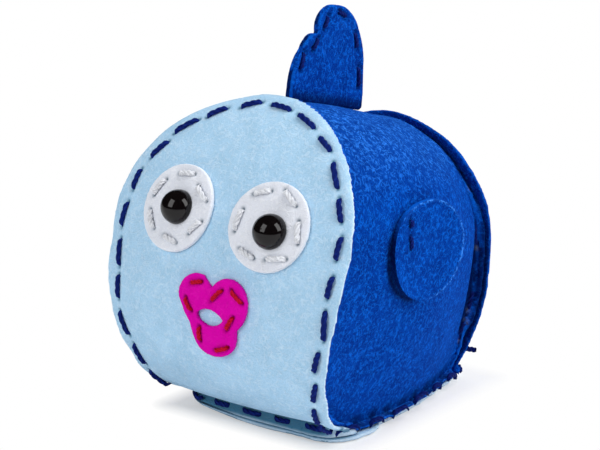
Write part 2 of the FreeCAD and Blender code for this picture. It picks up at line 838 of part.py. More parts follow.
seam_top = max(seam_layer.Shape.Faces, key=lambda face: face.CenterOfMass.z)
base_run = seam_top.makeOffset2D(-size("base_stitch_inset"))
base_points = base_run.OuterWire.discretize(Distance=1.0)
thread(
    "base_seam_thread",
    [
        stitch(place, along, UP, size("seam_stitch_length"), FINE_THREAD)
        for place, along in spaced(base_points, size("seam_stitch_pitch"))
    ],
)

for side in SIDES:
    point, normal = face_seat(f"eye_disc_{side}")
    level = UP.cross(normal).normalize()
    rise = normal.cross(level)
    ring_radius = size("eye_disc_diameter") / 2 - size("eye_stitch_inset")
    solids = []
    first = math.radians(size(f"eye_stitch_{side}_turn"))
    for number in range(EYE_STITCHES):
        turn = first + 2 * math.pi * number / EYE_STITCHES
        outwards = level * math.cos(turn) + rise * math.sin(turn)
        around = rise * math.cos(turn) - level * math.sin(turn)
        flat = point + outwards * ring_radius
        on_face, facing = FACE.surface(flat.x, flat.z)
        solids.append(
            stitch(on_face + facing * FELT, around, facing, size("eye_stitch_length"), FINE_THREAD)
        )
    thread(f"eye_disc_{side}_thread", solids)

lip_run = Part.Face(lips_wire).makeOffset2D(-size("mouth_stitch_inset"))
solids = []
lip_points = lip_run.OuterWire.discretize(Distance=0.5)
lip_length = sum((b - a).Length for a, b in zip(lip_points, lip_points[1:]))
for place, along in spaced(lip_points, lip_length / MOUTH_STITCHES, LIP_SEAM_START):
    point, normal = FACE.surface(place.x, place.z)
    solids.append(
        stitch(point + normal * FELT, along, normal, size("mouth_stitch_length"), FINE_THREAD)
    )
thread("mouth_thread", solids)

fin_run = fin_face.makeOffset2D(-size("fin_stitch_inset")).OuterWire
fin_points = [p for p in fin_run.discretize(Distance=0.5)]
fin_foot = fin_place(0, 0.12).z - fin_place(0, 0).z
fin_points = [
    p for p in fin_points if p.z > fin_place((p.y - FIN_FRONT) / FIN_LENGTH, 0).z + fin_foot
]
fin_points.sort(key=lambda p: math.atan2(p.y - fin_place(0.5, 0).y, p.z - fin_place(0.5, 0.1).z))
solids = []
for way in SIDES.values():
    for place, along in spaced(fin_points, size("seam_stitch_pitch")):
        at = place + RIGHT * way * FELT
        solids.append(stitch(at, along, RIGHT * way, size("fin_stitch_length"), THREAD))
thread("top_fin_thread", solids)

for side, way in SIDES.items():
    rearward = Vector(way * math.sin(LEAN), math.cos(LEAN), 0)
    outward = Vector(way * math.cos(LEAN), -math.sin(LEAN), 0)
    line = fin_hinges[side] + outward * FELT / 2 - rearward * (FELT / 2 + GAP + THREAD[0] / 2)
    line = line + UP * size("side_fin_stitch_rise")
    long = size("fin_stitch_length")
    solids = [
        stitch(line, UP, outward, long, THREAD),
        stitch(line + UP * long, UP, outward, long / 2, THREAD),
    ]
    thread(f"side_fin_{side}_thread", solids)

# ------------------------------------------------------------ check and write out

doc.recompute()
for item in doc.Objects:
    if "Invalid" in item.State or "Error" in item.State:
        raise RuntimeError(f"{item.Name} failed: {item.State}")
for item in PARTS:
    if item.Shape.isNull() or not item.Shape.isValid():
        raise RuntimeError(f"{item.Label} has no valid shape")

os.makedirs("parts", exist_ok=True)
for item in PARTS:
    item.Shape.exportStep(f"parts/{item.Label}.step")

print(f"{len(PARTS)} parts")
print(f"top fin hinge: {hinge_start} along {hinge_line}")
for side, point in fin_hinges.items():
    print(f"side fin hinge, {side}: {point}")
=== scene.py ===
import functools
import json
import math
import random

import bpy
import numpy as np
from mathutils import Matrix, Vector
from mathutils.bvhtree import BVHTree


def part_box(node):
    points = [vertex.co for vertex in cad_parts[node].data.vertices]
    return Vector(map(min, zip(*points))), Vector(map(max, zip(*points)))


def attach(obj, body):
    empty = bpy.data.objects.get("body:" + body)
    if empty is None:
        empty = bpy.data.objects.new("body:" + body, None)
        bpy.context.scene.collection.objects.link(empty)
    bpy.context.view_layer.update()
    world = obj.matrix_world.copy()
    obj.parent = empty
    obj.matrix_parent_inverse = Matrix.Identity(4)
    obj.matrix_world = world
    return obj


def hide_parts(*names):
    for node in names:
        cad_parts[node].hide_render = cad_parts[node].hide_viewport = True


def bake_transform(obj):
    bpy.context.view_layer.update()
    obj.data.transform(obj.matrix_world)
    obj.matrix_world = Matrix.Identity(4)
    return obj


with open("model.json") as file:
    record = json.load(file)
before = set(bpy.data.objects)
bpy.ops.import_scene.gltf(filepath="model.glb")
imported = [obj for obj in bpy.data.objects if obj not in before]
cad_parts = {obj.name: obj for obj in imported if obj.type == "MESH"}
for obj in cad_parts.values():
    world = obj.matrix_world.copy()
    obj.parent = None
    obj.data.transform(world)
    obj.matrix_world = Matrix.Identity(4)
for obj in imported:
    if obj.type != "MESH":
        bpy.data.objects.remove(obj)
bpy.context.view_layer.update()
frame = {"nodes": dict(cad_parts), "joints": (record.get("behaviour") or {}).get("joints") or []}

bl_info = {
    "name": "Felt fish toy",
    "version": (1, 0, 0),
    "blender": (4, 5, 0),
    "location": "View3D > Sidebar > Felt fish",
    "description": "Dresses a hand-sewn felt fish in felt, stranded thread and glossy eyes",
    "category": "Object",
}

MM = 0.001
TAU = 2 * math.pi
SIDES = ("left", "right")


def linear(red, green, blue):
    """A colour given in the usual 0 to 255 steps, as the linear values that nodes take."""
    shares = (step / 255 for step in (red, green, blue))
    return tuple(s / 12.92 if s <= 0.04045 else ((s + 0.055) / 1.055) ** 2.4 for s in shares)


# --- properties


def length_property(default, description):
    return bpy.props.FloatProperty(
        description=description, default=default, min=0, unit="LENGTH", precision=5
    )


def colour_property(steps, description):
    return bpy.props.FloatVectorProperty(
        description=description, default=linear(*steps), size=3, min=0, max=1, subtype="COLOR"
    )


class FeltFishSizes(bpy.types.PropertyGroup):
    felt: length_property(1.4 * MM, "Thickness of the craft felt")
    mesh_step: length_property(0.62 * MM, "Spacing of the felt's mesh")
    face_step: length_property(0.5 * MM, "Spacing of the face's mesh")
    fine_step: length_property(0.36 * MM, "Spacing of the small pieces' mesh")
    unevenness: length_property(0.55 * MM, "How far the stuffing bulges and dips")
    edge_wave: length_property(0.7 * MM, "How far the seam edges wave")
    base_lift: length_property(1.7 * MM, "How far the base's seam edge curls up")
    layer_gap: length_property(0.6 * MM, "How far the seam edge's layers part")
    trim: length_property(1.0 * MM, "How much shorter the band is cut behind the face")
    pull: length_property(0.3 * MM, "How deep a seam stitch pulls into the felt")
    disc_pull: length_property(0.5 * MM, "How deep it pulls on eye discs and lips")
    fin_pull: length_property(0.65 * MM, "How deep it pulls on the top fin")
    pull_width: length_property(1.2 * MM, "Reach of the dent beside a stitch")
    foot_reach: length_property(0.8 * MM, "How far the top fin's foot sinks in")
    fin_stand: length_property(0.8 * MM, "How far a side fin's rear edge stands off")
    groove: length_property(2.1 * MM, "How far the band narrows before the back seam")
    thread: length_property(1.75 * MM, "Width of the stranded seam thread")
    disc_thread: length_property(1.75 * MM, "Width of the thread on the eye discs")
    fine_thread: length_property(1.35 * MM, "Width of the thread on lips and fins")


class FeltFishColours(bpy.types.PropertyGroup):
    pale_felt: colour_property((168, 210, 240), "Face and base felt")
    blue_felt: colour_property((0, 48, 146), "Band, back and fin felt")
    white_felt: colour_property((224, 228, 238), "Eye discs")
    pink_felt: colour_property((218, 0, 168), "Lips")
    navy_thread: colour_property((0, 12, 92), "Seam stitches")
    white_thread: colour_property((240, 243, 250), "Eye disc stitches")
    red_thread: colour_property((196, 2, 40), "Lip stitches")
    eye_black: colour_property((7, 5, 6), "Eye domes")
    washer_white: colour_property((226, 226, 220), "Washers inside")
    filling_white: colour_property((238, 238, 234), "Fibre filling")
    floor: colour_property((250, 250, 250), "Floor")


def sizes():
    return bpy.context.scene.felt_fish_sizes


def colours():
    return bpy.context.scene.felt_fish_colours


# --- materials


class Value:
    """A value that varies over a surface. Arithmetic on it adds Math nodes."""

    def __init__(self, recipe, socket):
        self.recipe = recipe
        self.socket = socket

    def math(self, operation, *others, clamp=False):
        sockets = dict(enumerate((self, *others)))
        return self.recipe.add("Math", sockets, operation=operation, use_clamp=clamp)

    def __rsub__(self, other):
        return self.recipe.add("Math", {0: other, 1: self}, operation="SUBTRACT")

    __add__ = functools.partialmethod(math, "ADD")
    __sub__ = functools.partialmethod(math, "SUBTRACT")
    __mul__ = functools.partialmethod(math, "MULTIPLY")
    __abs__ = functools.partialmethod(math, "ABSOLUTE")
    top = functools.partialmethod(math, "MAXIMUM")
    clamped = functools.partialmethod(math, "ADD", 0.0, clamp=True)


class Recipe:
    """The nodes of one material or world."""

    def __init__(self, owner):
        owner.use_nodes = True
        self.owner = owner
        self.tree = owner.node_tree
        self.tree.nodes.clear()

    def add(self, kind, sockets=None, out=0, **settings):
        """Add a shader node: its settings first, then its sockets' values or links."""
        node = self.tree.nodes.new(f"ShaderNode{kind}")
        for key, value in settings.items():
            setattr(node, key, value)
        for key, value in (sockets or {}).items():
            if isinstance(value, Value):
                self.tree.links.new(value.socket, node.inputs[key])
            else:
                node.inputs[key].default_value = value
        return Value(self, node.outputs[out])

    def vector(self, operation, *values, out=0):
        return self.add("VectorMath", dict(enumerate(values)), out, operation=operation)

    def mix(self, share, first, second):
        """A colour between two others."""
        first, second = (
            colour if isinstance(colour, Value) else (*colour, 1.0) for colour in (first, second)
        )
        sockets = {0: share, 6: first, 7: second}
        return self.add("Mix", sockets, 2, data_type="RGBA", clamp_factor=True)

    def place(self):
        """Where each point lies on the object."""
        return self.add("TexCoord", out="Object")

    def mark(self, name):
        """A value that the piece's mesh holds at each point."""
        return self.add("Attribute", out="Fac", attribute_name=name)

    def noise(self, place, step, detail=2.0, roughness=0.5):
        """Noise whose features are about this far apart."""
        sockets = {"Vector": place, "Scale": 1 / step, "Detail": detail, "Roughness": roughness}
        return self.add("TexNoise", sockets)

    def bump(self, height, strength, distance):
        return self.add("Bump", {"Height": height, "Strength": strength, "Distance": distance})

    def surfaced(self, base, roughness, sockets):
        """Finish a material that has this colour and roughness all over."""
        sockets = {"Base Color": base, "Roughness": roughness.clamped(), **sockets}
        return self.finish(self.add("BsdfPrincipled", sockets))

    def finish(self, shader, kind="Material"):
        output = self.tree.nodes.new(f"ShaderNodeOutput{kind}")
        self.tree.links.new(shader.socket, output.inputs["Surface"])
        return self.owner


def new_material(name):
    return Recipe(bpy.data.materials.new(name))


def tinted(colour, share, towards):
    """This colour moved a share of the way towards another."""
    return tuple(a + (b - a) * share for a, b in zip(colour, towards))


WHITE = (1.0, 1.0, 1.0)
BLACK = (0.0, 0.0, 0.0)

# How far apart the felt's clouds of colour lie, its grain, and the patches where one set
# of fibres shows.
CLOUD_STEP = 6 * MM
GRAIN_STEP = 0.4 * MM
PATCH_STEP = 1.5 * MM
# How much longer than wide the fibres' curls are.
FIBRE_STRETCH = 2.6
# Each set of fibres: their spacing, the way that they mostly lie, and their fineness.
FIBRE_SETS = [
    (2.0 * MM, (0.35, 0.3, 0.2), 26.0),
    (1.5 * MM, (-0.4, 0.5, 1.1), 20.0),
    (1.9 * MM, (0.15, 1.45, 0.1), 26.0),
    (1.4 * MM, (0.3, 1.8, 0.4), 18.0),
]
FLUFF = linear(226, 236, 248)
# The tone of the painted highlight on upper faces and on the side fins' rims.
PAINTED_HIGHLIGHT = linear(110, 190, 255)


def fibre_set(recipe, place, number):
    """Thin curly lines, as single fibres draw on felt, shown in patches. They lie where
    slow noise passes its middle value."""
    step, turn, fineness = FIBRE_SETS[number]
    aside = (0.013 * number, 0.021 * number, 0.007 * number)
    patches = recipe.noise(recipe.vector("ADD", place, aside), PATCH_STEP, 0.0)
    sockets = {
        "Vector": place,
        "Location": (step * turn[1], step * turn[2], 0.0),
        "Rotation": turn,
        "Scale": (step, step, step * FIBRE_STRETCH),
    }
    turned = recipe.add("Mapping", sockets, vector_type="TEXTURE")
    noise = recipe.noise(turned, 1.0, 1.5, 0.45)
    curls = (1.0 - abs(noise - 0.5) * fineness).clamped()
    return curls * ((patches - 0.48) * 6.0).clamped()


def felt_material(name, colour, light, dark, shade_tone, looks):
    """Pressed craft felt: cloudy colour, fine grain, single fibres that curl all ways, a pale
    cut edge that is partly a painted highlight, a painted highlight on upper faces and rims,
    painted shade in the stitch holes and creases, and tufts of filling."""
    streak, grain_share, cut_share, sheen = looks
    recipe = new_material(name)
    place = recipe.place()
    fibre_sets = (fibre_set(recipe, place, number) for number in range(len(FIBRE_SETS)))
    lines = functools.reduce(Value.top, fibre_sets)
    clouds = recipe.noise(place, CLOUD_STEP, 3.0)
    grain = recipe.noise(place, GRAIN_STEP, 2.0, 0.7)
    tone = ((clouds - 0.5) + (grain - 0.5) * (3.0 * grain_share) + 0.5).clamped()
    ground = recipe.mix(tone, dark, tinted(colour, 0.2, light))
    base = recipe.mix((lines * streak).clamped(), ground, light)
    # Painted highlight on the faces that turn up to the top light, and on the side fins' rims.
    raised = (lines * 0.55 + 0.05) * recipe.mark("painted_highlight")
    base = recipe.mix(raised.clamped(), base, tinted(light, 0.3, PAINTED_HIGHLIGHT))
    # The paler cut edge, partly a painted highlight, then painted shade in holes and creases.
    base = recipe.mix(recipe.mark("cut_edge") * cut_share, base, light)
    base = recipe.mix((recipe.mark("shaded") * 0.95).clamped(), base, shade_tone)
    base = recipe.mix(recipe.mark("fluff"), base, FLUFF)
    sockets = {
        "Normal": recipe.bump(lines * 0.7 + grain * 0.6, 0.7, 0.2 * MM),
        "Specular IOR Level": 0.03,
        "Sheen Weight": sheen,
        "Sheen Roughness": 0.35,
        "Sheen Tint": (*light, 1.0),
    }
    return recipe.surfaced(base, grain * 0.1 + 0.88, sockets)


def thread_material(name, colour, light):
    """Stranded cotton: fine fibres along the strand with a soft gloss."""
    recipe = new_material(name)
    sockets = {"Vector": recipe.add("UVMap", uv_map="Strand"), "Scale": (6.0, 8.0, 1.0)}
    strands = recipe.noise(recipe.add("Mapping", sockets, vector_type="POINT"), 1.0)
    patches = recipe.noise(recipe.place(), 0.9 * MM)
    tone = ((strands - 0.5) * 1.6 + (patches - 0.5) * 0.9 + 0.4).clamped()
    base = recipe.mix(tone, tinted(colour, 0.4, BLACK), light)
    sockets = {"Normal": recipe.bump(strands, 0.5, 0.08 * MM), "Specular IOR Level": 0.08}
    return recipe.surfaced(base, strands * 0.2 + 0.6, sockets)


def eye_material():
    """Polished black plastic with the faintest moulding haze."""
    recipe = new_material("Eye plastic")
    haze = recipe.noise(recipe.place(), 2.5 * MM, 3.0)
    black = tuple(colours().eye_black)
    base = recipe.mix((haze * 0.6).clamped(), black, (0.006, 0.004, 0.004))
    return recipe.surfaced(base, haze * 0.04 + 0.05, {"Specular IOR Level": 0.3})


def plain_material(name, colour, roughness, grain_step):
    """A matt moulded or fibrous stuff with a slight grain."""
    recipe = new_material(name)
    grain = recipe.noise(recipe.place(), grain_step, 4.0, 0.6)
    base = recipe.mix(grain, tinted(colour, 0.12, BLACK), tinted(colour, 0.2, WHITE))
    bump = recipe.bump(grain, 0.4, 0.1 * MM)
    return recipe.surfaced(base, grain * 0.1 + roughness, {"Normal": bump})


# The floor whitens away from the base: half sizes of the base, white at once, per metre.
BASE_HALF = (31 * MM, 38 * MM, 0.0)
FLOOR_GLOW = 0.4
FLOOR_FADE = 80.0


def floor_material():
    """A pale floor that shows nearly white to the eye and keeps the toy's shadow."""
    recipe = new_material("Floor")
    matt = recipe.add("BsdfDiffuse", {"Color": (*colours().floor, 1.0), "Roughness": 0.0})
    glow = recipe.add("Emission", {"Color": (*WHITE, 1.0), "Strength": 1.0})
    offset = recipe.vector("SUBTRACT", recipe.vector("ABSOLUTE", recipe.place()), BASE_HALF)
    reach = recipe.vector("LENGTH", recipe.vector("MAXIMUM", offset, (0, 0, 0)), out="Value")
    seen = recipe.add("LightPath", out="Is Camera Ray")
    share = seen * (reach * FLOOR_FADE + FLOOR_GLOW).clamped()
    return recipe.finish(recipe.add("MixShader", {0: share, 1: matt, 2: glow}))


# Each felt: its material, its slot, the tones of its light and of its painted shade, how
# far its light and dark parts leave its colour, and the strength of its fibres, its grain,
# its paler cut edge, partly a painted highlight, and its bloom of raised fibres.
FELTS = {
    "pale": (
        ("Pale blue felt", "pale_blue_felt"), (WHITE, linear(4, 92, 124)),
        (0.4, 0.2), (0.5, 0.6, 0.8, 0.05),
    ),
    "blue": (
        ("Royal blue felt", "royal_blue_felt"), (linear(14, 122, 250), linear(0, 8, 52)),
        (0.85, 0.4), (0.62, 0.8, 0.35, 0.2),
    ),
    "white": (
        ("White felt", "white_felt"), (WHITE, linear(70, 96, 112)),
        (0.6, 0.12), (0.4, 0.4, 0.4, 0.05),
    ),
    "pink": (
        ("Magenta felt", "pink_felt"), (linear(255, 70, 205), linear(110, 0, 62)),
        (0.25, 0.15), (0.3, 0.3, 0.3, 0.05),
    ),
}
THREAD_LIGHTS = {
    "navy": linear(40, 80, 190),
    "white": WHITE,
    "red": linear(240, 34, 70),
}


def felt_paint(key):
    """The felt of this colour, made once and then shared."""
    (name, _), (light_tone, shade_tone), (light_share, dark_share), looks = FELTS[key]
    colour = tuple(getattr(colours(), f"{key}_felt"))
    light = tinted(colour, light_share, light_tone)
    dark = tinted(colour, dark_share, BLACK)
    found = bpy.data.materials.get(name)
    return found or felt_material(name, colour, light, dark, shade_tone, looks)


def thread_paint(key):
    """The thread of this colour, made once and then shared."""
    name = f"{key.title()} thread"
    colour = tuple(getattr(colours(), f"{key}_thread"))
    light = tinted(colour, 0.3, THREAD_LIGHTS[key])
    return bpy.data.materials.get(name) or thread_material(name, colour, light)


# --- making meshes


def alone(obj):
    """Make this the only selected object, and the active one."""
    bpy.ops.object.select_all(action="DESELECT")
    obj.select_set(True)
    bpy.context.view_layer.objects.active = obj


def edited(obj, *steps):
    """Run edit mode operators on the whole of a mesh."""
    alone(obj)
    bpy.ops.object.mode_set(mode="EDIT")
    bpy.ops.mesh.select_all(action="SELECT")
    for step, settings in steps:
        step(**settings)
    bpy.ops.object.mode_set(mode="OBJECT")


def shaped(obj, kind, **settings):
    """Add a modifier with these settings and apply it."""
    modifier = obj.modifiers.new(kind.title(), kind)
    for key, value in settings.items():
        setattr(modifier, key, value)
    alone(obj)
    bpy.ops.object.modifier_apply(modifier=modifier.name)


def joined(objects, name):
    """Several objects made one mesh of this name."""
    bpy.ops.object.select_all(action="DESELECT")
    for obj in objects:
        obj.select_set(True)
    bpy.context.view_layer.objects.active = objects[0]
    bpy.ops.object.join()
    objects[0].name = name
    objects[0].data.name = name
    return objects[0]


def copy_of(node, name):
    """A merged copy of a CAD node, to be worked on."""
    obj = bpy.data.objects.new(name, frame["nodes"][node].data.copy())
    obj.data.name = name
    bpy.context.scene.collection.objects.link(obj)
    obj.data.materials.clear()
    edited(obj, (bpy.ops.mesh.remove_doubles, {"threshold": 0.001 * MM}))
    return obj


def felted(node, step, rounds=3, name=None):
    """A CAD node as one soft-edged sheet of felt with an even, fine mesh."""
    obj = copy_of(node, name or f"{node}_felt")
    shaped(obj, "REMESH", mode="VOXEL", voxel_size=step, use_smooth_shade=True)
    shaped(obj, "SMOOTH", factor=0.5, iterations=rounds)
    return obj


def vertex_values(obj, name):
    """Three numbers of each of a mesh's points, as an array."""
    values = np.empty(len(obj.data.vertices) * 3)
    obj.data.vertices.foreach_get(name, values)
    return values.reshape(-1, 3)


def points_of(obj):
    """A mesh's points as an array."""
    return vertex_values(obj, "co")


def normals_of(obj):
    return vertex_values(obj, "normal")


def put_points(obj, points):
    obj.data.vertices.foreach_set("co", points.ravel())
    obj.data.update()


def marked(obj, name, values):
    """Keep a value at each point of a mesh, for its felt to read."""
    layer = obj.data.attributes.new(name, "FLOAT", "POINT")
    layer.data.foreach_set("value", np.asarray(values, dtype=np.float32))


def tree_over(*meshes):
    """A search tree over the surfaces of some meshes."""
    corners, faces = [], []
    for mesh in meshes:
        start = len(corners)
        corners += [vertex.co.copy() for vertex in mesh.vertices]
        faces += [[start + number for number in face.vertices] for face in mesh.polygons]
    return BVHTree.FromPolygons(corners, faces)


FILLING = tree_over(frame["nodes"]["stuffing"].data)
# A cut edge shows where the felt goes this much deeper than it is thick.
CUT_DEPTH = 1.3


def cuts_of(obj):
    """1 where a felt sheet shows its cut edge, 0 on its two broad sides."""
    tree = tree_over(obj.data)
    felt = sizes().felt
    cuts = np.ones(len(obj.data.vertices))
    for vertex in obj.data.vertices:
        start = vertex.co - vertex.normal * 0.1 * MM
        _, _, _, depth = tree.ray_cast(start, -vertex.normal, 4 * felt)
        if depth is not None and depth < CUT_DEPTH * felt:
            cuts[vertex.index] = 0.0
    return cuts


# --- the toy's unevenness

# Slow waves that the hand-stuffed body has: direction, waves per metre, phase.
BODY_WAVES = [
    ((0.8, 0.3, 0.5), 23.0, 0.4),
    ((-0.4, 0.7, 0.6), 31.0, 2.1),
    ((0.3, -0.8, 0.5), 42.0, 4.0),
    ((0.6, 0.5, -0.6), 55.0, 1.2),
]
EDGE_WAVES = [
    ((0.7, 0.2, 0.7), 52.0, 0.9),
    ((-0.5, 0.6, 0.6), 83.0, 3.3),
    ((0.2, 0.9, -0.4), 121.0, 5.1),
]
FLOOR_CLEARANCE = 0.05 * MM
# Pairs in millimetres: where a change begins, and where it is full. The first two are
# gaps to the filling, the third is a height above the floor.
SEAM_EDGE = (2.2, 6.5)
SHORT_EDGE = (1.9, 3.0)
OFF_THE_FLOOR = (4, 22)
# Ripples around the toy's middle, or a fin's: the height, count and phase of each.
BASE_RIPPLES = ((0.25, 5, 0.6), (0.25, 11, 2.2))
LAYER_RIPPLES = ((0.25, 7, 0.0), (0.25, 13, 1.0))
FIN_RIPPLES = ((0.012, 3, 0.7), (0.008, 5, 2.0))
# The felt keeps its even form at the eyes and at the fins, out to these distances.
EYE_CALM = (6, 20)
SIDE_FIN_CALM = (15, 27)
TOP_FIN_CALM = (3, 13)


def waves(points, table):
    """A smooth uneven value from -1 to 1 at each point."""
    total = np.zeros(len(points))
    for direction, pitch, phase in table:
        unit = np.array(direction) / np.linalg.norm(direction)
        total += np.sin(points @ unit * pitch * TAU + phase)
    return total / len(table)


def ripples(turn, rows, start=0.0, share=1.0):
    """A sum of ripples on top of a start, at each point's turn around a middle."""
    each = (height * np.sin(count * turn + phase) * share for height, count, phase in rows)
    return sum(each, start)


def eased(values, low, high):
    """0 below low, 1 above high, and smooth between."""
    share = np.clip((values - low) / (high - low), 0, 1)
    return share * share * (3 - 2 * share)


def ramp(lengths, low, high):
    """The same for lengths in metres, with low and high in millimetres."""
    return eased(lengths, low * MM, high * MM)


def peak(values, width):
    """1 at 0, and less and less away from it."""
    return np.exp(-((values / width) ** 2))


def standing_off(points):
    """How far each point lies from the filling, and the direction away from it."""
    gaps = np.empty(len(points))
    ways = np.empty((len(points), 3))
    for number, point in enumerate(points):
        nearest, _, _, gap = FILLING.find_nearest(Vector(point))
        gaps[number] = gap
        ways[number] = (Vector(point) - nearest) / max(gap, 1e-9)
    return gaps, ways


def middle_of(node):
    low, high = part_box(node)
    return (low + high) / 2


def joint(name):
    return next(item for item in frame["joints"] if item["name"] == name)


@functools.cache
def calm_places():
    """The places that nothing stirs, each with its pair of distances."""
    eyes = [(middle_of(f"eye_{side}"), EYE_CALM) for side in SIDES]
    side_fins = [(middle_of(f"side_fin_{side}_flap"), SIDE_FIN_CALM) for side in SIDES]
    low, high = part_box("top_fin_left_layer")
    start = Vector(joint("top_fin_tilt")["pos_m"])
    foot = Vector(joint("top_fin_tilt")["axis"]).normalized() * (high.y - low.y)
    crest = [(start + foot * share, TOP_FIN_CALM) for share in (0, 0.25, 0.5, 0.75, 1)]
    return eyes + side_fins + crest


def stirred(points):
    """0 at the calm places, 1 well away from them."""
    share = np.ones(len(points))
    for centre, calm in calm_places():
        share *= ramp(np.linalg.norm(points - np.array(centre), axis=1), *calm)
    return share


def base_curl(points, away, upper):
    """The lift of the base's seam edge. The layer sewn on top of the base lifts more."""
    size = sizes()
    x, y, z = points.T
    turn = np.arctan2(y, x)
    left_front = ramp(-0.65 * x - 0.75 * y, 31, 44)
    right_side = ramp(x, 14, 28) * ramp(y, -26, 4)
    pucker = 0.35 * right_side * np.sin(23 * turn)
    rippled = 0.2 + 0.4 * ripples(turn, BASE_RIPPLES)
    share = rippled + 1.2 * left_front + 0.75 * right_side + pucker
    lift = size.base_lift * share
    if upper:
        lift = lift + size.layer_gap * ripples(turn, LAYER_RIPPLES, 0.5)
    return lift * (1 - ramp(z, 4, 12)) * away


def settled(points, upper=True):
    """Where the hand-made toy really has these points of its even form."""
    size = sizes()
    gaps, ways = standing_off(points)
    away = ramp(gaps, *SEAM_EDGE)
    high = ramp(points[:, 2], *OFF_THE_FLOOR)
    bulge = waves(points, BODY_WAVES) * size.unevenness * high * stirred(points)
    moved = points + bulge[:, None] * ways
    wave = size.edge_wave * away * high
    moved[:, 1] += wave * waves(points, EDGE_WAVES)
    moved[:, 0] += 0.4 * wave * waves(points[:, [1, 2, 0]], EDGE_WAVES)
    moved[:, 2] += base_curl(points, away, upper)
    moved[:, 2] = np.maximum(moved[:, 2], FLOOR_CLEARANCE)
    return moved


def trimmed(points, trim):
    """A seam edge cut a little shorter than the layer that it lies behind."""
    gaps, ways = standing_off(points)
    beyond = ramp(gaps, *SHORT_EDGE) * trim
    return points - beyond[:, None] * ways


# --- the stitches


class Stitch:
    """One visible stitch: where it lies on the felt, its run, and the way out."""

    def __init__(self, at, along, out, length):
        self.at = at
        self.along = along / np.linalg.norm(along)
        across = np.cross(out, self.along)
        self.across = across / np.linalg.norm(across)
        self.out = np.cross(self.along, self.across)
        self.length = length

    def carried(self):
        """The same stitch on the settled felt."""
        step = 0.5 * MM
        probes = np.array([self.at, self.at + self.along * step, self.at + self.out * step])
        at, ahead, above = settled(probes)
        return Stitch(at, ahead - at, above - at, self.length)


def loose_parts(obj):
    """The points of each loose part of a mesh."""
    owner = list(range(len(obj.data.vertices)))

    def root(number):
        while owner[number] != number:
            owner[number] = owner[owner[number]]
            number = owner[number]
        return number

    for edge in obj.data.edges:
        a, b = (root(number) for number in edge.vertices)
        owner[a] = b
    groups = {}
    for number, point in enumerate(points_of(obj)):
        groups.setdefault(root(number), []).append(point)
    return [np.array(group) for group in groups.values()]


def stitches_of(node, *carriers):
    """The stitches that a CAD thread node holds, read from its loose bars."""
    bars = copy_of(node, "bars")
    felt = tree_over(*(frame["nodes"][carrier].data for carrier in carriers))
    found = []
    for bar in loose_parts(bars):
        middle = (bar.min(axis=0) + bar.max(axis=0)) / 2
        _, _, axes = np.linalg.svd(bar - bar.mean(axis=0), full_matrices=False)
        along, out = axes[0], axes[2]
        nearest, _, _, _ = felt.find_nearest(Vector(middle))
        if np.dot(middle - np.array(nearest), out) < 0:
            out = -out
        if node == "base_seam_thread":
            out = out * np.sign(out[2])
        run = (bar - middle) @ along
        found.append(Stitch(np.array(nearest), along, out, float(run.max() - run.min())))
    bpy.data.objects.remove(bars)
    return sorted(found, key=lambda stitch: tuple(np.round(stitch.at, 4)))


def unsteady(stitches, seed, turn, stretch, slip):
    """The same stitches as an unpractised hand sews them."""
    dice = random.Random(seed)
    found = []
    for stitch in stitches:
        angle = dice.uniform(-turn, turn)
        along = stitch.along * math.cos(angle) + stitch.across * math.sin(angle)
        at = stitch.at + stitch.across * dice.uniform(-slip, slip)
        at = at + stitch.along * dice.uniform(-slip, slip)
        length = stitch.length * dice.uniform(1 - stretch, 1 + stretch)
        found.append(Stitch(at, along, stitch.out, length).carried())
    return found


# How the felt gives at a stitch: the share of the pull along the stitch and at its two
# holes, and the width of a dent at a hole as a share of the dent's along the stitch.
RUN_PULL = 0.7
HOLE_PULL = 0.9
HOLE_DENT = 0.6
# The holes: their width as a share of the fine thread's, and how far past the stitch.
HOLE_WIDTH = 0.42
HOLE_BEYOND = 0.15 * MM


def pulled_in(points, stitches, depth):
    """Felt drawn towards its own middle layer under each stitch, most at the ends."""
    felt, reach = sizes().felt, sizes().pull_width
    moved = points.copy()
    for stitch in stitches:
        offset = points - stitch.at
        along = offset @ stitch.along
        across = offset @ stitch.across
        height = offset @ stitch.out
        half = stitch.length / 2
        near = (np.abs(along) < half + 3 * reach) & (np.abs(across) < 3 * reach)
        near &= np.abs(height + felt) < 2.5 * felt
        across, past = across[near], np.abs(along[near]) - half
        run = np.exp(-((across / reach) ** 2) - (np.maximum(past, 0) / reach) ** 2)
        holes = peak(past, HOLE_DENT * reach) * peak(across, HOLE_DENT * reach)
        share = np.clip((height[near] + felt) / felt, -1, 1)
        drop = depth * (RUN_PULL * run + HOLE_PULL * holes) * share
        moved[near] -= drop[:, None] * stitch.out
    return moved


def holes_of(stitches, points):
    """Painted shade: 1 in the holes at the stitches' ends, measured before the felt was drawn in.
    """
    holes = np.zeros(len(points))
    width = HOLE_WIDTH * sizes().fine_thread
    for stitch in stitches:
        for end in (-1, 1):
            hole = stitch.at + stitch.along * (stitch.length / 2 + HOLE_BEYOND) * end
            offset = points - hole
            height = offset @ stitch.out
            flat = np.linalg.norm(offset - np.outer(height, stitch.out), axis=1)
            holes = np.maximum(holes, peak(flat, width) * (np.abs(height) < sizes().felt))
    return holes


# A stitch's strands, for a thread one unit wide, and how far they twist over its length.
STRANDS = 3
STRAND_SIDES = 7
STRAND_CUTS = 16
STRAND_RADIUS = 0.27
STRAND_OFFSET = 0.24
STRAND_TURN = 1.1 * TAU
# How much thinner a stitch is at its ends, and how flat it lies.
END_THINNING = 0.3
FLATNESS = 0.8
# How high a stitch stands, and how deep its ends dive, as shares of its width.
ARCH = 0.25
DIVE = 0.8


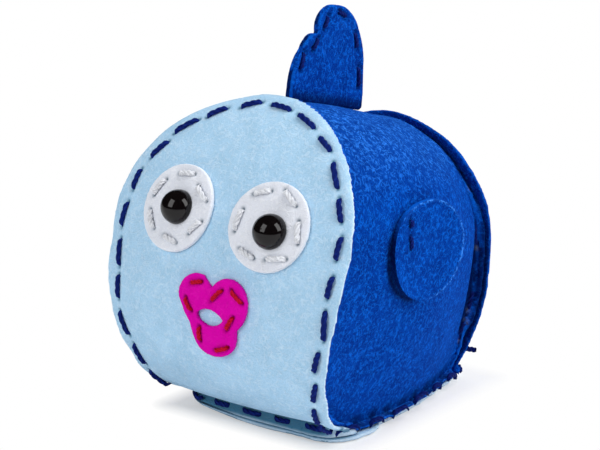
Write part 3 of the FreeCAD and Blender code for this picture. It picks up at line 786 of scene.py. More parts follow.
def strand_bar():
    """A straight stitch of unit length along X, of strands that lie side by side."""
    strands = []
    for number in range(STRANDS):
        turn = TAU * number / STRANDS
        bpy.ops.mesh.primitive_cylinder_add(
            vertices=STRAND_SIDES,
            radius=STRAND_RADIUS,
            depth=1.0,
            location=(0.0, math.cos(turn) * STRAND_OFFSET, math.sin(turn) * STRAND_OFFSET),
            rotation=(0, math.pi / 2, 0),
        )
        strand = bpy.context.object
        for cut in range(1, STRAND_CUTS):
            plane = {"plane_co": (cut / STRAND_CUTS - 0.5, 0, 0), "plane_no": (1, 0, 0)}
            edited(strand, (bpy.ops.mesh.bisect, plane))
        bpy.ops.object.transform_apply(location=True, rotation=True, scale=True)
        strands.append(strand)
    return joined(strands, "stitch")


def stitch_form():
    """The stitch that every seam repeats: its strands twisted, and thinner at its ends.
    The thread's fibres follow its UV map."""
    bar = strand_bar()
    run, y, z = points_of(bar).T
    turn = run * STRAND_TURN
    thin = 1 - END_THINNING * (np.abs(run) * 2) ** 8
    side = (y * np.cos(turn) - z * np.sin(turn)) * thin
    rise = (y * np.sin(turn) + z * np.cos(turn)) * thin * FLATNESS
    around = np.arctan2(z, y) / TAU
    put_points(bar, np.column_stack([run, side, rise]))
    layer = bar.data.uv_layers.new(name="Strand")
    for loop in bar.data.loops:
        layer.data[loop.index].uv = (run[loop.vertex_index], around[loop.vertex_index])
    alone(bar)
    bpy.ops.object.shade_smooth()
    return bar


def sewn(node, stitches, width, colour="navy", body="body"):
    """A seam's thread in place of its CAD node. Every stitch is a copy of the same form,
    arched so that its ends dive into the felt."""
    form = stitch_form()
    run, side, rise = points_of(form).T
    rise = rise * width + (ARCH * width - (np.abs(run) * 2) ** 7 * width * DIVE)
    copies = []
    for stitch in stitches:
        twin = bpy.data.objects.new("stitch_copy", form.data.copy())
        bpy.context.scene.collection.objects.link(twin)
        placed = (
            stitch.at
            + np.outer(run * stitch.length, stitch.along)
            + np.outer(side * width, stitch.across)
            + np.outer(rise, stitch.out)
        )
        put_points(twin, placed)
        copies.append(twin)
    bpy.data.objects.remove(form)
    thread = joined(copies, f"{node}_stitches")
    thread.data.materials.clear()
    thread.data.materials.append(thread_paint(colour))
    dressed(thread, node, body)


def dressed(obj, node, body="body"):
    """Set a piece on its body, in place of its CAD node."""
    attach(obj, body)
    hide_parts(node)


# --- the felt panels

# Each seam: the nodes that its stitches lie on, and how unsteady they are: a seed, the
# most turn, the stretch of the length and the slip.
SEAMS = {
    "face_seam_thread": (("face_panel",), 3, 0.2, 0.16, 0.35 * MM),
    "back_seam_thread": (("back_panel",), 5, 0.2, 0.2, 0.4 * MM),
    "base_seam_thread": (("face_panel", "side_band", "back_panel"), 7, 0.25, 0.2, 0.3 * MM),
    "eye_disc_left_thread": (("eye_disc_left",), 11, 0.35, 0.12, 0.3 * MM),
    "eye_disc_right_thread": (("eye_disc_right",), 13, 0.35, 0.12, 0.3 * MM),
    "mouth_thread": (("mouth_patch",), 17, 0.4, 0.15, 0.2 * MM),
    "side_fin_left_thread": (("side_fin_left_sewn_edge",), 23, 0.1, 0.1, 0.2 * MM),
    "side_fin_right_thread": (("side_fin_right_sewn_edge",), 29, 0.1, 0.1, 0.2 * MM),
}


# Where whole rows strayed: the face seam's sides lie further right, the base seam's front
# row further forward, and the base seam's stitches at the right and the side fins' are
# shorter.
FACE_SEAM_SHIFT = 0.8 * MM
BASE_ROW_FORWARD = 1.2 * MM
BASE_ROW_SHORTER = 0.75
SIDE_FIN_SHORTER = 0.7


@functools.cache
def sewing(node):
    """The unsteady stitches of a seam, worked out once."""
    carriers, *hand = SEAMS[node]
    found = stitches_of(node, *carriers)
    for stitch in found:
        x, y, _ = stitch.at
        if node == "face_seam_thread":
            stitch.at = stitch.at + np.array((FACE_SEAM_SHIFT * ramp(abs(x), 15, 30), 0, 0))
        elif node == "base_seam_thread" and y < -30 * MM:
            stitch.at = stitch.at + np.array((0, -BASE_ROW_FORWARD, 0))
        elif node == "base_seam_thread" and x > 20 * MM:
            stitch.length *= BASE_ROW_SHORTER
        elif node.startswith("side_fin"):
            stitch.length *= SIDE_FIN_SHORTER
    return unsteady(found, *hand)


# How far the back seam's other half lies beyond its stitches.
BACK_SLIP = -0.2 * MM
# Two stitches further apart than this, in lengths of a stitch, aren't neighbours, and the
# other half is this much of a stitch shorter than the gap.
FURTHEST = 2.2
COVERED = 0.6


def other_side(stitches, depth, outward):
    """The running stitch's other half: between each pair, on the far side of the seam
    and this much nearer to its edge."""
    found = []
    for stitch in stitches:
        later = [s for s in stitches if np.dot(s.at - stitch.at, stitch.along) > 0.1 * MM]
        if not later:
            continue
        follower = min(later, key=lambda s: np.linalg.norm(s.at - stitch.at))
        way = follower.at - stitch.at
        gap = np.linalg.norm(way)
        if gap > FURTHEST * stitch.length:
            continue
        middle = (follower.at + stitch.at) / 2
        away = standing_off(middle[None, :])[1][0]
        middle = middle - stitch.out * depth + away * outward
        found.append(Stitch(middle, way, -stitch.out, gap - COVERED * stitch.length))
    return found


# The ways that cut edges turn into the shade: a side fin's and the top fin's.
LEE = np.array((0.0, -0.86, -0.51))
FRONT = np.array((0.0, -1.5, 0.0))


def sewn_up(obj, points, stitches, depth, shade=None, lee=None, edge_lit=1.0):
    """Draw a sheet of felt in at its stitches, and mark its cut edges and its painted shade.
    The pale cut edges, partly a painted highlight, take the last share of their paleness."""
    shade = np.zeros(len(points)) if shade is None else shade
    shade = np.maximum(shade, holes_of(stitches, points))
    put_points(obj, pulled_in(points, stitches, depth))
    cuts = cuts_of(obj) * edge_lit
    shade = shade * (1 - 0.8 * cuts)
    # Cut edges that face the lee way take painted shade in place of their highlight.
    if lee is not None:
        hidden = np.clip(normals_of(obj) @ lee * 1.5, 0, 1) * cuts
        shade = np.maximum(shade, HOLLOW_SHADE * hidden)
        cuts = cuts - hidden
    marked(obj, "cut_edge", cuts)
    marked(obj, "shaded", shade)


# How deep the shades are, from 0 to 1.
HOLLOW_SHADE = 0.85
STRIP_SHADE = 0.9
GROOVE_SHADE = 0.95
EDGE_SHADE = 0.78
FOOT_SHADE = 0.8
BACK_SHADE = 0.6
FIN_SHADOW = 0.9
FIN_FOOT_SHADE = 0.75
FIN_FRONT_SHADE = 0.6


def stitches_in(*seams):
    return [stitch for seam in seams for stitch in sewing(seam)]


def front_crease(points, gaps):
    """The shade between the belly and the seam edge that stands out under it."""
    low = 1 - ramp(points[:, 2], 4.0, 5.4)
    front = ramp(-points[:, 1], 27, 33)
    return HOLLOW_SHADE * low * front * (1 - 0.9 * ramp(gaps, 4.5, 7.5))


# The belly's last fold: its foot, its middle and its top, and how far the middle rises.
LIP_LEVELS = (1.7 * MM, 4.3 * MM, 13 * MM)
LIP_RISE = 2.2 * MM


def lip_raised(points):
    """The belly's last fold, pushed up off the seam edge below it by the filling."""
    x, y, z = points.T
    front = ramp(-y, 31, 36) * (1 - ramp(np.abs(x), 24, 31))
    low, fold, high = LIP_LEVELS
    raised = np.interp(z, LIP_LEVELS, (low, fold + LIP_RISE, high))
    moved = points.copy()
    moved[:, 2] += front * (raised - z) * ((z > low) & (z < high))
    return moved


def strip_share(points):
    """How far each point lies on the shaded strip between the belly and the base."""
    x, y, z = points.T
    front = ramp(-y, 35, 37) * (1 - ramp(-y, 40.5, 42))
    height = ramp(z, 1.9, 2.7) * (1 - ramp(z, 6.0, 7.2))
    return front * height * (1 - ramp(np.abs(x), 30, 34))


def face():
    """The face, whose lower edge is sewn to the base."""
    obj = felted("face_panel", sizes().face_step, 6)
    points = points_of(obj)
    gaps, _ = standing_off(points)
    placed = lip_raised(settled(points))
    strip = strip_share(placed)
    shade = np.maximum(front_crease(points, gaps), STRIP_SHADE * strip)
    discs = [f"eye_disc_{side}_thread" for side in SIDES]
    stitches = stitches_in("face_seam_thread", "base_seam_thread", *discs)
    sewn_up(obj, placed, stitches, sizes().pull, shade, edge_lit=1 - strip)
    return finished(obj, "pale", "face_panel")


# The band's mesh is coarser than the other panels' by this much.
BAND_COARSER = 1.22
# Where the band's body ends and its edge of the back seam begins.
BAND_END = 31.9 * MM
# The middle and the width of the groove before the back seam.
GROOVE_AT = 29.5 * MM
GROOVE_WIDTH = 3.5 * MM


def band():
    """The band, with the groove that its back seam draws it into, and painted shade in the
    groove, on the seam edge beyond it, at its foot and before the side fins."""
    size = sizes()
    obj = felted("side_band", BAND_COARSER * size.mesh_step, 4)
    points = points_of(obj)
    _, y, z = points.T
    groove = peak(y - GROOVE_AT, GROOVE_WIDTH) * ramp(BAND_END - y, 0.0, 1.2)
    groove *= ramp(z, 8, 18)
    edge = ramp(y - BAND_END, -3.2, -2.4) * ramp(z, 6, 12)
    points = settled(trimmed(points, size.trim))
    inward = points * (-1, 0, -1) + (0, 0, middle_of("stuffing").z)
    inward /= np.linalg.norm(inward, axis=1)[:, None]
    points = points + (size.groove * groove)[:, None] * inward
    shade = np.maximum(GROOVE_SHADE * eased(groove, 0.55, 0.95), EDGE_SHADE * edge)
    shade = shade * seam_depth(points)
    shade = np.maximum(shade, np.maximum(foot_shade(points), fin_shadow(points)))
    crease = other_side(sewing("back_seam_thread"), 2 * size.felt, BACK_SLIP)
    stitches = stitches_in("face_seam_thread", "back_seam_thread", "base_seam_thread")
    inside = 1 - ramp(y - BAND_END, -1.0, 0.0)
    sewn_up(obj, points, stitches, size.pull, shade, edge_lit=inside)
    marked(obj, "fluff", fluff(points, crease))
    # Painted highlight on the faces that turn up, where the top light falls.
    marked(obj, "painted_highlight", eased(normals_of(obj)[:, 2], 0.3, 0.95) * inside)
    return finished(obj, "blue", "side_band")


def seam_depth(points):
    """The share of the back seam's shade, which is full only where the seam lies deep."""
    return 1 - 0.75 * ramp(points[:, 2], 46, 56)


def foot_shade(points):
    """The puckered shade along the band's foot, at its right and left sides."""
    x, y, z = points.T
    low = (1 - ramp(z, 4, 8)) * ramp(np.abs(x), 20, 27)
    puckers = np.clip(0.45 + 0.4 * np.sin(y / MM * 0.9 + 0.6 * np.sin(y / MM * 0.37)), 0, 1)
    return FOOT_SHADE * low * puckers


# The shade before a side fin: how far past the fin's rim, how wide, how far inwards.
FIN_SHADE_AT = 0.2 * MM
FIN_SHADE_WIDTH = 0.9 * MM
FIN_SHADE_DEPTH = 6 * MM


def fin_shadow(points):
    """The shade where a side fin's front edge presses into the band."""
    shade = np.zeros(len(points))
    for side in SIDES:
        a, b, c = across_fin(side, points)
        reach = np.maximum(np.hypot(a, b), 1e-9)
        lee = eased(-(0.86 * a + 0.51 * b) / reach, 0.0, 0.6)
        ring = peak(reach - fin_plane(side)[3] - FIN_SHADE_AT, FIN_SHADE_WIDTH)
        near = np.abs(c) < FIN_SHADE_DEPTH
        shade = np.maximum(shade, FIN_SHADOW * ring * lee * near)
    return shade


TUFT = 0.7 * MM


def fluff(points, stitches):
    """The tufts of filling that show at some of the back seam's holes."""
    tufts = np.zeros(len(points))
    for number, stitch in enumerate(stitches):
        for end in (-0.55, 0.5):
            if (number * 3 + (end > 0)) % 4 < 2:
                at = stitch.at + stitch.along * stitch.length * end
                tufts = np.maximum(tufts, peak(np.linalg.norm(points - at, axis=1), TUFT))
    return 0.9 * tufts


def back():
    """The back, shaded in front where it meets the band."""
    obj = felted("back_panel", sizes().mesh_step)
    points = points_of(obj)
    front = BACK_SHADE * eased(-normals_of(obj)[:, 1], 0.0, 0.7) * ramp(points[:, 2], 6, 12)
    front = front * seam_depth(points)
    stitches = stitches_in("back_seam_thread", "base_seam_thread")
    sewn_up(obj, settled(points), stitches, sizes().pull, front, edge_lit=0.3)
    return finished(obj, "blue", "back_panel")


BASE_CUT_SHORT = 3.0 * MM


def base():
    """The base, cut a little short at its right side."""
    obj = felted("base_panel", sizes().mesh_step)
    points = points_of(obj)
    x, y, _ = points.T
    points[:, 0] -= BASE_CUT_SHORT * (ramp(x, 22, 30) * ramp(y, -22, -15))
    gaps, _ = standing_off(points)
    points = settled(points, upper=False)
    shade = 0.8 * front_crease(points, gaps)
    sewn_up(obj, points, sewing("base_seam_thread"), 0.3 * sizes().pull, shade)
    return finished(obj, "pale", "base_panel")


def painted(obj, paint, *nodes):
    """Paint a piece of felt that takes the place of CAD nodes."""
    obj.data.materials.append(felt_paint(paint))
    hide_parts(*nodes)


def finished(obj, paint, node):
    """Paint a piece of felt and set it on the body."""
    painted(obj, paint, node)
    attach(obj, "body")
    return obj


# The filling's mesh, and in millimetres how deep it sinks and how high its lumps are.
FILLING_STEP = 1.6 * MM
FILLING_SINKS = 0.8
FILLING_LUMPS = 0.35


class FELTFISH_OT_stuffing(bpy.types.Operator):
    """Fill the toy with lumpy loose fibre"""

    bl_idname = "felt_fish.stuffing"
    bl_label = "Stuffing"

    def execute(self, context):
        filling = felted("stuffing", FILLING_STEP, 6, "fibre_filling")
        points = points_of(filling)
        lumps = waves(points, BODY_WAVES) + waves(points * 1.7, EDGE_WAVES)
        inward = (FILLING_SINKS + FILLING_LUMPS * lumps) * MM
        put_points(filling, points - inward[:, None] * normals_of(filling))
        white = tuple(colours().filling_white)
        filling.data.materials.append(plain_material("Fibre filling", white, 0.85, 1.2 * MM))
        dressed(filling, "stuffing")
        return {"FINISHED"}


class FELTFISH_OT_panels(bpy.types.Operator):
    """Cut and sew the four felt panels of the body"""

    bl_idname = "felt_fish.panels"
    bl_label = "Body panels"

    def execute(self, context):
        face()
        band()
        back()
        base()
        return {"FINISHED"}


# --- eyes, discs and lips


def patch(node, paint):
    """A small piece of felt that is sewn on the face."""
    obj = felted(node, sizes().fine_step)
    seam = node.removesuffix("_patch") + "_thread"
    sewn_up(obj, settled(points_of(obj)), sewing(seam), sizes().disc_pull)
    return finished(obj, paint, node)


class FELTFISH_OT_eyes(bpy.types.Operator):
    """Sew on the felt eye discs, smooth the domed eyes and finish their washers"""

    bl_idname = "felt_fish.eyes"
    bl_label = "Eyes"

    def execute(self, context):
        black = eye_material()
        washer = plain_material("Washer plastic", tuple(colours().washer_white), 0.45, 3 * MM)
        for side in SIDES:
            disc = patch(f"eye_disc_{side}", "white")

            eye = copy_of(f"eye_{side}", f"eye_{side}_dome")
            alone(eye)
            bpy.ops.object.shade_smooth_by_angle(angle=math.radians(32))
            eye.data.materials.append(black)
            dressed(eye, f"eye_{side}")

            hidden = frame["nodes"][f"eye_washer_{side}"]
            hidden.data.materials.clear()
            hidden.data.materials.append(washer)
        return {"FINISHED"}


class FELTFISH_OT_mouth(bpy.types.Operator):
    """Sew the felt lips to the face"""

    bl_idname = "felt_fish.mouth"
    bl_label = "Lips"

    def execute(self, context):
        lips = patch("mouth_patch", "pink")
        return {"FINISHED"}


# --- the fins

# Where the shade of the top fin's foot begins to fade and ends, in millimetres above its
# hinge, and how far the fin's upper edge leans over, evenly and in waves.
FIN_FOOT = (0.2, 2.4)
FIN_CUP = 1.1 * MM
FIN_CUP_WAVE = 0.35 * MM


class FELTFISH_OT_top_fin(bpy.types.Operator):
    """Sew the two layers of the top fin together"""

    bl_idname = "felt_fish.top_fin"
    bl_label = "Top fin"

    def execute(self, context):
        hinge = joint("top_fin_tilt")
        start = Vector(hinge["pos_m"])
        rise = Vector((1, 0, 0)).cross(Vector(hinge["axis"]).normalized())
        for side in SIDES:
            node = f"top_fin_{side}_layer"
            layer = felted(node, sizes().fine_step)
            points = points_of(layer)
            foot = 1 - ramp((points - np.array(start)) @ np.array(rise), *FIN_FOOT)
            points = points - np.outer(foot * sizes().foot_reach, rise)
            shade = fin_shade(points, foot)
            # The left layer's front cut edges take painted shade.
            edges = FRONT if side == "left" else None
            sewn_up(layer, points, fin_sewing(), sizes().fin_pull, shade, edges)
            put_points(layer, fin_curled(points_of(layer)))
            painted(layer, "blue", node)
            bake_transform(layer)
        return {"FINISHED"}


def fin_shade(points, foot):
    """The shade at the fin's foot, deepest at its front."""
    low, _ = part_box("top_fin_left_layer")
    front = 1 - ramp(points[:, 1] - low.y, 0, 5)
    rising = 1 - ramp(points[:, 2] - low.z, 2, 9)
    return np.maximum(FIN_FOOT_SHADE * foot, FIN_FRONT_SHADE * front * rising)


def fin_curled(points):
    """The fin's slight cup: its upper edge leans over as felt does."""
    low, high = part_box("top_fin_left_layer")
    rise = eased(points[:, 2], low.z + 6 * MM, high.z + 6 * MM)
    moved = points.copy()
    moved[:, 0] += rise * FIN_CUP + FIN_CUP_WAVE * rise * waves(points, EDGE_WAVES)
    return moved


# Where the hand strayed at the top fin, from its front foot over the tip to its rear:
# rearward and upward shift, the stitch's turn from upright, and its length.
FIN_HAND = [
    (0.0, 0.3, 0.35, 5.2),
    (-3.0, -0.6, 0.75, 3.8),
    (0.9, 2.0, 0.45, 3.8),
    (0.3, -0.2, -1.0, 3.8),
    (0.2, -1.0, -0.2, 5.0),
    (0.0, -1.4, 0.0, 6.2),
]
FIN_SEED = 19


@functools.cache
def fin_sewing():
    """The top fin's stitches, which the body's unevenness doesn't reach."""
    dice = random.Random(FIN_SEED)
    layers = [f"top_fin_{side}_layer" for side in SIDES]
    both = stitches_of("top_fin_thread", *layers)
    found = []
    for way in (-1, 1):
        row = sorted((s for s in both if s.out[0] * way > 0), key=lambda s: s.at[1])
        for stitch, (rearward, upward, turn, length) in zip(row, FIN_HAND):
            turn = turn + dice.uniform(-0.1, 0.1)
            along = np.array((0.0, math.sin(turn), math.cos(turn)))
            at = stitch.at + np.array((0.0, rearward, upward)) * MM
            found.append(Stitch(at, along, stitch.out, length * MM))
    return found


# How far forward of its even place the hand has sewn a side fin.
FIN_FORWARD = 2.8 * MM
# How much longer a side fin is cut towards its lower rear: the share of its radius, the
# turn where it is longest, and the reach of the longer part.
FIN_LONGER = 0.09
LONGEST_AT = -0.75
LONGER_REACH = 0.6
# A side fin's mesh, and the half width of the gap in which it looks for the band.
FIN_CORNERS = 120
FIN_RINGS = 16
FIN_PROBE = 8 * MM
# How far a side fin lies off the band.
FIN_CLEARANCE = 0.15 * MM


class FELTFISH_OT_side_fins(bpy.types.Operator):
    """Cut a round side fin for each side, whole across its bend"""

    bl_idname = "felt_fish.side_fins"
    bl_label = "Side fins"

    def execute(self, context):
        for side in SIDES:
            edge, flap = f"side_fin_{side}_sewn_edge", f"side_fin_{side}_flap"
            fin = fin_disc(side)
            painted(fin, "blue", edge, flap)
            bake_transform(fin)
        return {"FINISHED"}


@functools.cache
def fin_plane(side):
    """The middle of a side fin's disc, its rearward and outward ways, and its radius."""
    flap = f"side_fin_{side}_flap"
    low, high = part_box(flap)
    radius = (high.z - low.z) / 2
    way = -1 if side == "left" else 1
    at = Vector(joint(f"side_fin_{side}_lift")["pos_m"])
    flap_points = points_of(frame["nodes"][flap])
    furthest = Vector(flap_points[np.argmax(flap_points[:, 1])])
    rearward = Vector((furthest.x - at.x, furthest.y - at.y, 0)).normalized()
    outward = Vector((way * rearward.y, -way * rearward.x, 0))
    span = (Vector((furthest.x, furthest.y, 0)) - Vector((at.x, at.y, 0))).dot(rearward)
    centre = at + rearward * (span - radius - FIN_FORWARD)
    return np.array(centre), np.array(rearward), np.array(outward), radius


def across_fin(side, points):
    """How far rearward, up and outward of the middle of a side fin's disc points lie."""
    centre, rearward, outward, _ = fin_plane(side)
    offset = points - centre
    return offset @ rearward, offset[:, 2], offset @ outward


def fin_raised(side, points):
    """The sewn part of a side fin's disc, laid over the band where the band bulges."""
    outward = Vector(fin_plane(side)[2])
    band = bpy.data.objects["side_band_felt"]
    raised = points.copy()
    for number, point in enumerate(points):
        start = Vector(point) + outward * FIN_PROBE
        hit, at, _, _ = band.ray_cast(start, -outward, distance=2 * FIN_PROBE)
        if hit:
            lack = FIN_PROBE - (start - at).length + 0.5 * sizes().felt + FIN_CLEARANCE
            raised[number] += np.array(outward) * max(lack, 0.0)
    return raised


def longer(turn):
    """1 where a side fin is cut longest, at its lower rear."""
    return peak(turn - LONGEST_AT, LONGER_REACH)


def fin_disc(side):
    """A felt disc where the sewn edge and the flap lie."""
    centre, rearward, outward, radius = fin_plane(side)
    bpy.ops.mesh.primitive_circle_add(vertices=FIN_CORNERS, radius=radius, fill_type="NGON")
    disc = bpy.context.object
    disc.name = f"side_fin_{side}_felt"
    ring = (bpy.ops.mesh.inset, {"thickness": radius / (FIN_RINGS + 2), "depth": 0.0})
    edited(disc, *[ring] * FIN_RINGS)
    steps = (bpy.ops.mesh.quads_convert_to_tris, bpy.ops.mesh.tris_convert_to_quads)
    edited(disc, *[(step, {}) for step in steps])
    flat = points_of(disc)[:, :2]
    a, b = flat.T
    reach, turn = np.linalg.norm(flat, axis=1) / radius, np.arctan2(b, a)
    uneven = ripples(turn, FIN_RIPPLES, 1.0, reach) + FIN_LONGER * reach * longer(turn)
    cup = 0.5 * MM * reach**2 * np.sin(2 * turn + 0.5) + sizes().fin_stand * eased(a, 0.0, radius)
    placed = centre + np.outer(a * uneven, rearward) + np.outer(b * uneven, (0, 0, 1))
    put_points(disc, fin_raised(side, placed + np.outer(cup, outward)))
    disc.location = (0, 0, 0)
    shaped(disc, "SOLIDIFY", thickness=sizes().felt, offset=0.0, use_even_offset=True)
    edited(disc, (bpy.ops.mesh.normals_make_consistent, {"inside": False}))
    sharp = math.radians(50)
    shaped(disc, "BEVEL", width=0.3 * MM, segments=2, limit_method="ANGLE", angle_limit=sharp)
    rim = fin_rim(side, disc)
    sewn_up(disc, points_of(disc), fin_row(side), sizes().pull, None, LEE)
    # Painted highlight along the fin's rim.
    marked(disc, "painted_highlight", 2.5 * rim)
    alone(disc)
    bpy.ops.object.shade_smooth_by_angle(angle=math.radians(60))
    return disc


def fin_rim(side, disc):
    """1 on the rim of a side fin's outer face, except at its front, for its painted highlight."""
    _, _, outward, radius = fin_plane(side)
    a, b, _ = across_fin(side, points_of(disc))
    edge = radius * (1 + FIN_LONGER * longer(np.arctan2(b, a)))
    rim = ramp(np.hypot(a, b) - edge, -0.75, -0.35)
    rim *= eased(a + 0.4 * b, -0.5 * radius, 0.0)
    return rim * eased(normals_of(disc) @ outward, 0.5, 0.85)


@functools.cache
def fin_row(side):
    """A side fin's stitches, on top of its disc."""
    row = sewing(f"side_fin_{side}_thread")
    outward = fin_plane(side)[2]
    for stitch in row:
        within = stitch.at - stitch.out * 0.5 * sizes().felt
        lift = (fin_raised(side, within[None, :])[0] - within) @ outward
        stitch.at = stitch.at + outward * lift
    return row


# --- the seams


class FELTFISH_OT_seams(bpy.types.Operator):
    """Sew every seam with stranded thread"""

    bl_idname = "felt_fish.seams"
    bl_label = "Seams"

    def execute(self, context):
        size = sizes()
        double = 2 * size.felt
        front = sewing("face_seam_thread")
        sewn("face_seam_thread", front + other_side(front, double, 0.0), size.thread)
        rear = sewing("back_seam_thread")
        reverse = other_side(rear, double + 0.2 * MM, BACK_SLIP)
        sewn("back_seam_thread", rear + reverse + [thread_tail(rear)], size.thread)
        sewn("base_seam_thread", seated(sewing("base_seam_thread")), size.thread)
        for side in SIDES:
            sewn(f"side_fin_{side}_thread", fin_row(side), 0.9 * size.fine_thread)
            ring = f"eye_disc_{side}_thread"
            sewn(ring, sewing(ring), size.disc_thread, "white")
        sewn("mouth_thread", sewing("mouth_thread"), size.fine_thread, "red")
        top = fin_sewing()
        for stitch in top:
            stitch.at = fin_curled(stitch.at[None, :])[0] - stitch.out * size.fin_pull
        sewn("top_fin_thread", top, size.fine_thread, body="top_fin")
        return {"FINISHED"}


# The base seam's front row: its stitches lie in front of this, at this height, and face
# this way.
FRONT_ROW = -34 * MM
FRONT_LEVEL = 4.5 * MM
FRONT_OUT = np.array((0.0, -0.96, -0.28))
# How far from its even place a stitch looks for felt.
SEAT_REACH = 2.5 * MM
# How far off the felt a stitch lies: sunk in at the right side, on top elsewhere.
SUNK = -0.3 * MM
ON_TOP = 0.25 * MM


def seated(stitches):
    """The base seam's stitches, laid on the finished felt."""
    stitches = [fronted(s) if s.at[1] < FRONT_ROW else s for s in stitches]
    for stitch in stitches:
        if stitch.at[1] < FRONT_ROW:
            continue
        found = rises(stitch)
        if found:
            clear = SUNK if stitch.at[0] > 20 * MM else ON_TOP
            stitch.at = stitch.at + stitch.out * (min(found, key=abs) + clear)
    return stitches


def rises(stitch):
    """How far above a stitch the upper sides of the felt lie that it could rest on."""
    down = Vector(-stitch.out)
    found = []
    for name in ("face_panel_felt", "side_band_felt", "back_panel_felt"):
        felt = bpy.data.objects[name]
        start = Vector(stitch.at + stitch.out * SEAT_REACH)
        for _ in range(6):
            hit, at, normal, _ = felt.ray_cast(start, down, distance=2 * SEAT_REACH)
            if not hit:
                break
            if normal.dot(down) < -0.3:
                found.append(float(np.dot(np.array(at) - stitch.at, stitch.out)))
            start = at + down * 0.05 * MM
    return found


def fronted(stitch):
    """A stitch of the front row, which shows on the seam edge below the belly."""
    felt = bpy.data.objects["face_panel_felt"]
    start = Vector((stitch.at[0], -60 * MM, FRONT_LEVEL))
    hit, at, _, _ = felt.ray_cast(start, Vector((0, 1, 0)), distance=40 * MM)
    if not hit:
        return stitch
    at = np.array(at) + FRONT_OUT * 0.2 * MM
    return Stitch(at, stitch.along, FRONT_OUT, 0.9 * stitch.length)


# The thread's cut end: its length, and how far out of the seam its middle lies.
TAIL_LENGTH = 4.2 * MM
TAIL_OUT = 3.4


def thread_tail(stitches):
    """The thread's cut end, which sticks out of the seam at its lower right end."""
    last = max(stitches, key=lambda stitch: stitch.at[0] - 2 * stitch.at[2])
    away = standing_off(last.at[None, :])[1][0]
    at = last.at + away * TAIL_OUT * MM - last.out * sizes().felt
    along = away + 0.25 * last.along * np.sign(last.along[2])
    return Stitch(at, along, last.out, TAIL_LENGTH)


# --- the stage

# The camera: degrees to the right of the face, degrees up, metres off, the point that it
# looks at, and its sensor and lens in millimetres.
AZIMUTH = 37
ELEVATION = 15.7
DISTANCE = 0.56
AIM = Vector((0.01117, -0.03206, 0.06153))
SENSOR = 36.0
FOCAL = 119.28
# Soft boxes: name, azimuth, elevation, distance, width, height, power, seen in gloss.
LAMPS = [
    ("left_box", -17, 32, 1.1, 0.6, 0.9, 6.3, True),
    ("right_box", 99, 36, 1.1, 0.5, 0.9, 6.6, True),
    ("top_box", 140, 62, 1.1, 0.8, 0.8, 7.0, False),
]
# The surroundings: their light and its strength, their strength in gloss, and to the eye.
SKY = (0.93, 0.96, 1.0, 1.0)
SKY_STRENGTH = 0.22
GLOSS_STRENGTH = 0.02
SEEN_STRENGTH = 1.0


def way_to(azimuth, elevation):
    """The direction from the toy to a place; azimuth 0 is in front of its face."""
    a, e = math.radians(azimuth), math.radians(elevation)
    return Vector((math.sin(a) * math.cos(e), -math.cos(a) * math.cos(e), math.sin(e)))


def aimed(obj, way):
    """Turn a camera or a lamp that lies this way from the toy towards it."""
    obj.rotation_mode = "QUATERNION"
    obj.rotation_quaternion = (-way).to_track_quat("-Z", "Y")


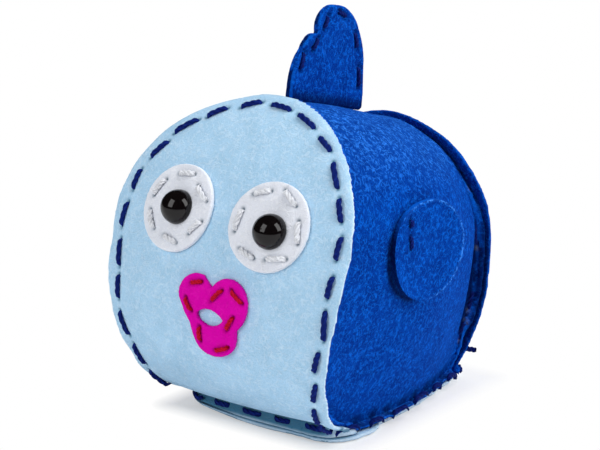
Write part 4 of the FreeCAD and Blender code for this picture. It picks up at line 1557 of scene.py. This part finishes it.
class FELTFISH_OT_stage(bpy.types.Operator):
    """Lay the pale floor, hang the soft lights and set up the camera"""

    bl_idname = "felt_fish.stage"
    bl_label = "Stage"

    def execute(self, context):
        scene = context.scene
        scene.view_settings.view_transform = "Standard"
        bpy.ops.object.select_all(action="DESELECT")
        bpy.ops.mesh.primitive_plane_add(size=6.0, location=(0, 0, 0))
        floor = context.object
        floor.name = "floor"
        floor.data.materials.append(floor_material())

        recipe = Recipe(bpy.data.worlds.new("Studio"))
        soft = recipe.add("Background", {"Color": SKY, "Strength": SKY_STRENGTH})
        dim = recipe.add("Background", {"Strength": GLOSS_STRENGTH})
        white = recipe.add("Background", {"Strength": SEEN_STRENGTH})
        in_gloss = recipe.add("LightPath", out="Is Glossy Ray")
        in_view = recipe.add("LightPath", out="Is Camera Ray")
        unseen = recipe.add("MixShader", {0: in_gloss, 1: soft, 2: dim})
        shader = recipe.add("MixShader", {0: in_view, 1: unseen, 2: white})
        scene.world = recipe.finish(shader, "World")

        way = way_to(AZIMUTH, ELEVATION)
        bpy.ops.object.camera_add(location=AIM + way * DISTANCE)
        camera = context.object
        aimed(camera, way)
        camera.data.sensor_width = SENSOR
        camera.data.lens = FOCAL
        scene.camera = camera

        for lamp in LAMPS:
            self.lamp(*lamp)
        return {"FINISHED"}

    def lamp(self, name, azimuth, elevation, distance, width, height, power, glossy):
        """A soft box aimed at the toy."""
        way = way_to(azimuth, elevation)
        bpy.ops.object.light_add(type="AREA", location=AIM + way * distance)
        light = bpy.context.object
        light.name = name
        aimed(light, way)
        light.data.shape = "RECTANGLE"
        light.data.size = width
        light.data.size_y = height
        light.data.energy = power
        light.visible_glossy = glossy


# --- panel and main

OPERATORS = (
    FELTFISH_OT_stuffing,
    FELTFISH_OT_panels,
    FELTFISH_OT_eyes,
    FELTFISH_OT_mouth,
    FELTFISH_OT_top_fin,
    FELTFISH_OT_side_fins,
    FELTFISH_OT_seams,
    FELTFISH_OT_stage,
)


class FELTFISH_PT_panel(bpy.types.Panel):
    """The toy's sizes, colours and steps"""

    bl_idname = "FELTFISH_PT_panel"
    bl_label = "Felt fish"
    bl_space_type = "VIEW_3D"
    bl_region_type = "UI"
    bl_category = "Felt fish"

    def draw(self, context):
        layout = self.layout
        for group in (context.scene.felt_fish_sizes, context.scene.felt_fish_colours):
            column = layout.column(align=True)
            for name in group.__annotations__:
                column.prop(group, name, text=name.replace("_", " ").capitalize())
        steps = layout.column(align=True)
        for operator in OPERATORS:
            steps.operator(operator.bl_idname)


CLASSES = (FeltFishSizes, FeltFishColours, *OPERATORS, FELTFISH_PT_panel)


def register():
    for item in CLASSES:
        bpy.utils.register_class(item)
    bpy.types.Scene.felt_fish_sizes = bpy.props.PointerProperty(type=FeltFishSizes)
    bpy.types.Scene.felt_fish_colours = bpy.props.PointerProperty(type=FeltFishColours)


def unregister():
    del bpy.types.Scene.felt_fish_colours
    del bpy.types.Scene.felt_fish_sizes
    for item in reversed(CLASSES):
        bpy.utils.unregister_class(item)


def main():
    register()
    bpy.ops.object.select_all(action="DESELECT")
    for operator in OPERATORS:
        group, name = operator.bl_idname.split(".")
        getattr(getattr(bpy.ops, group), name)()


if __name__ == "__main__":
    main()
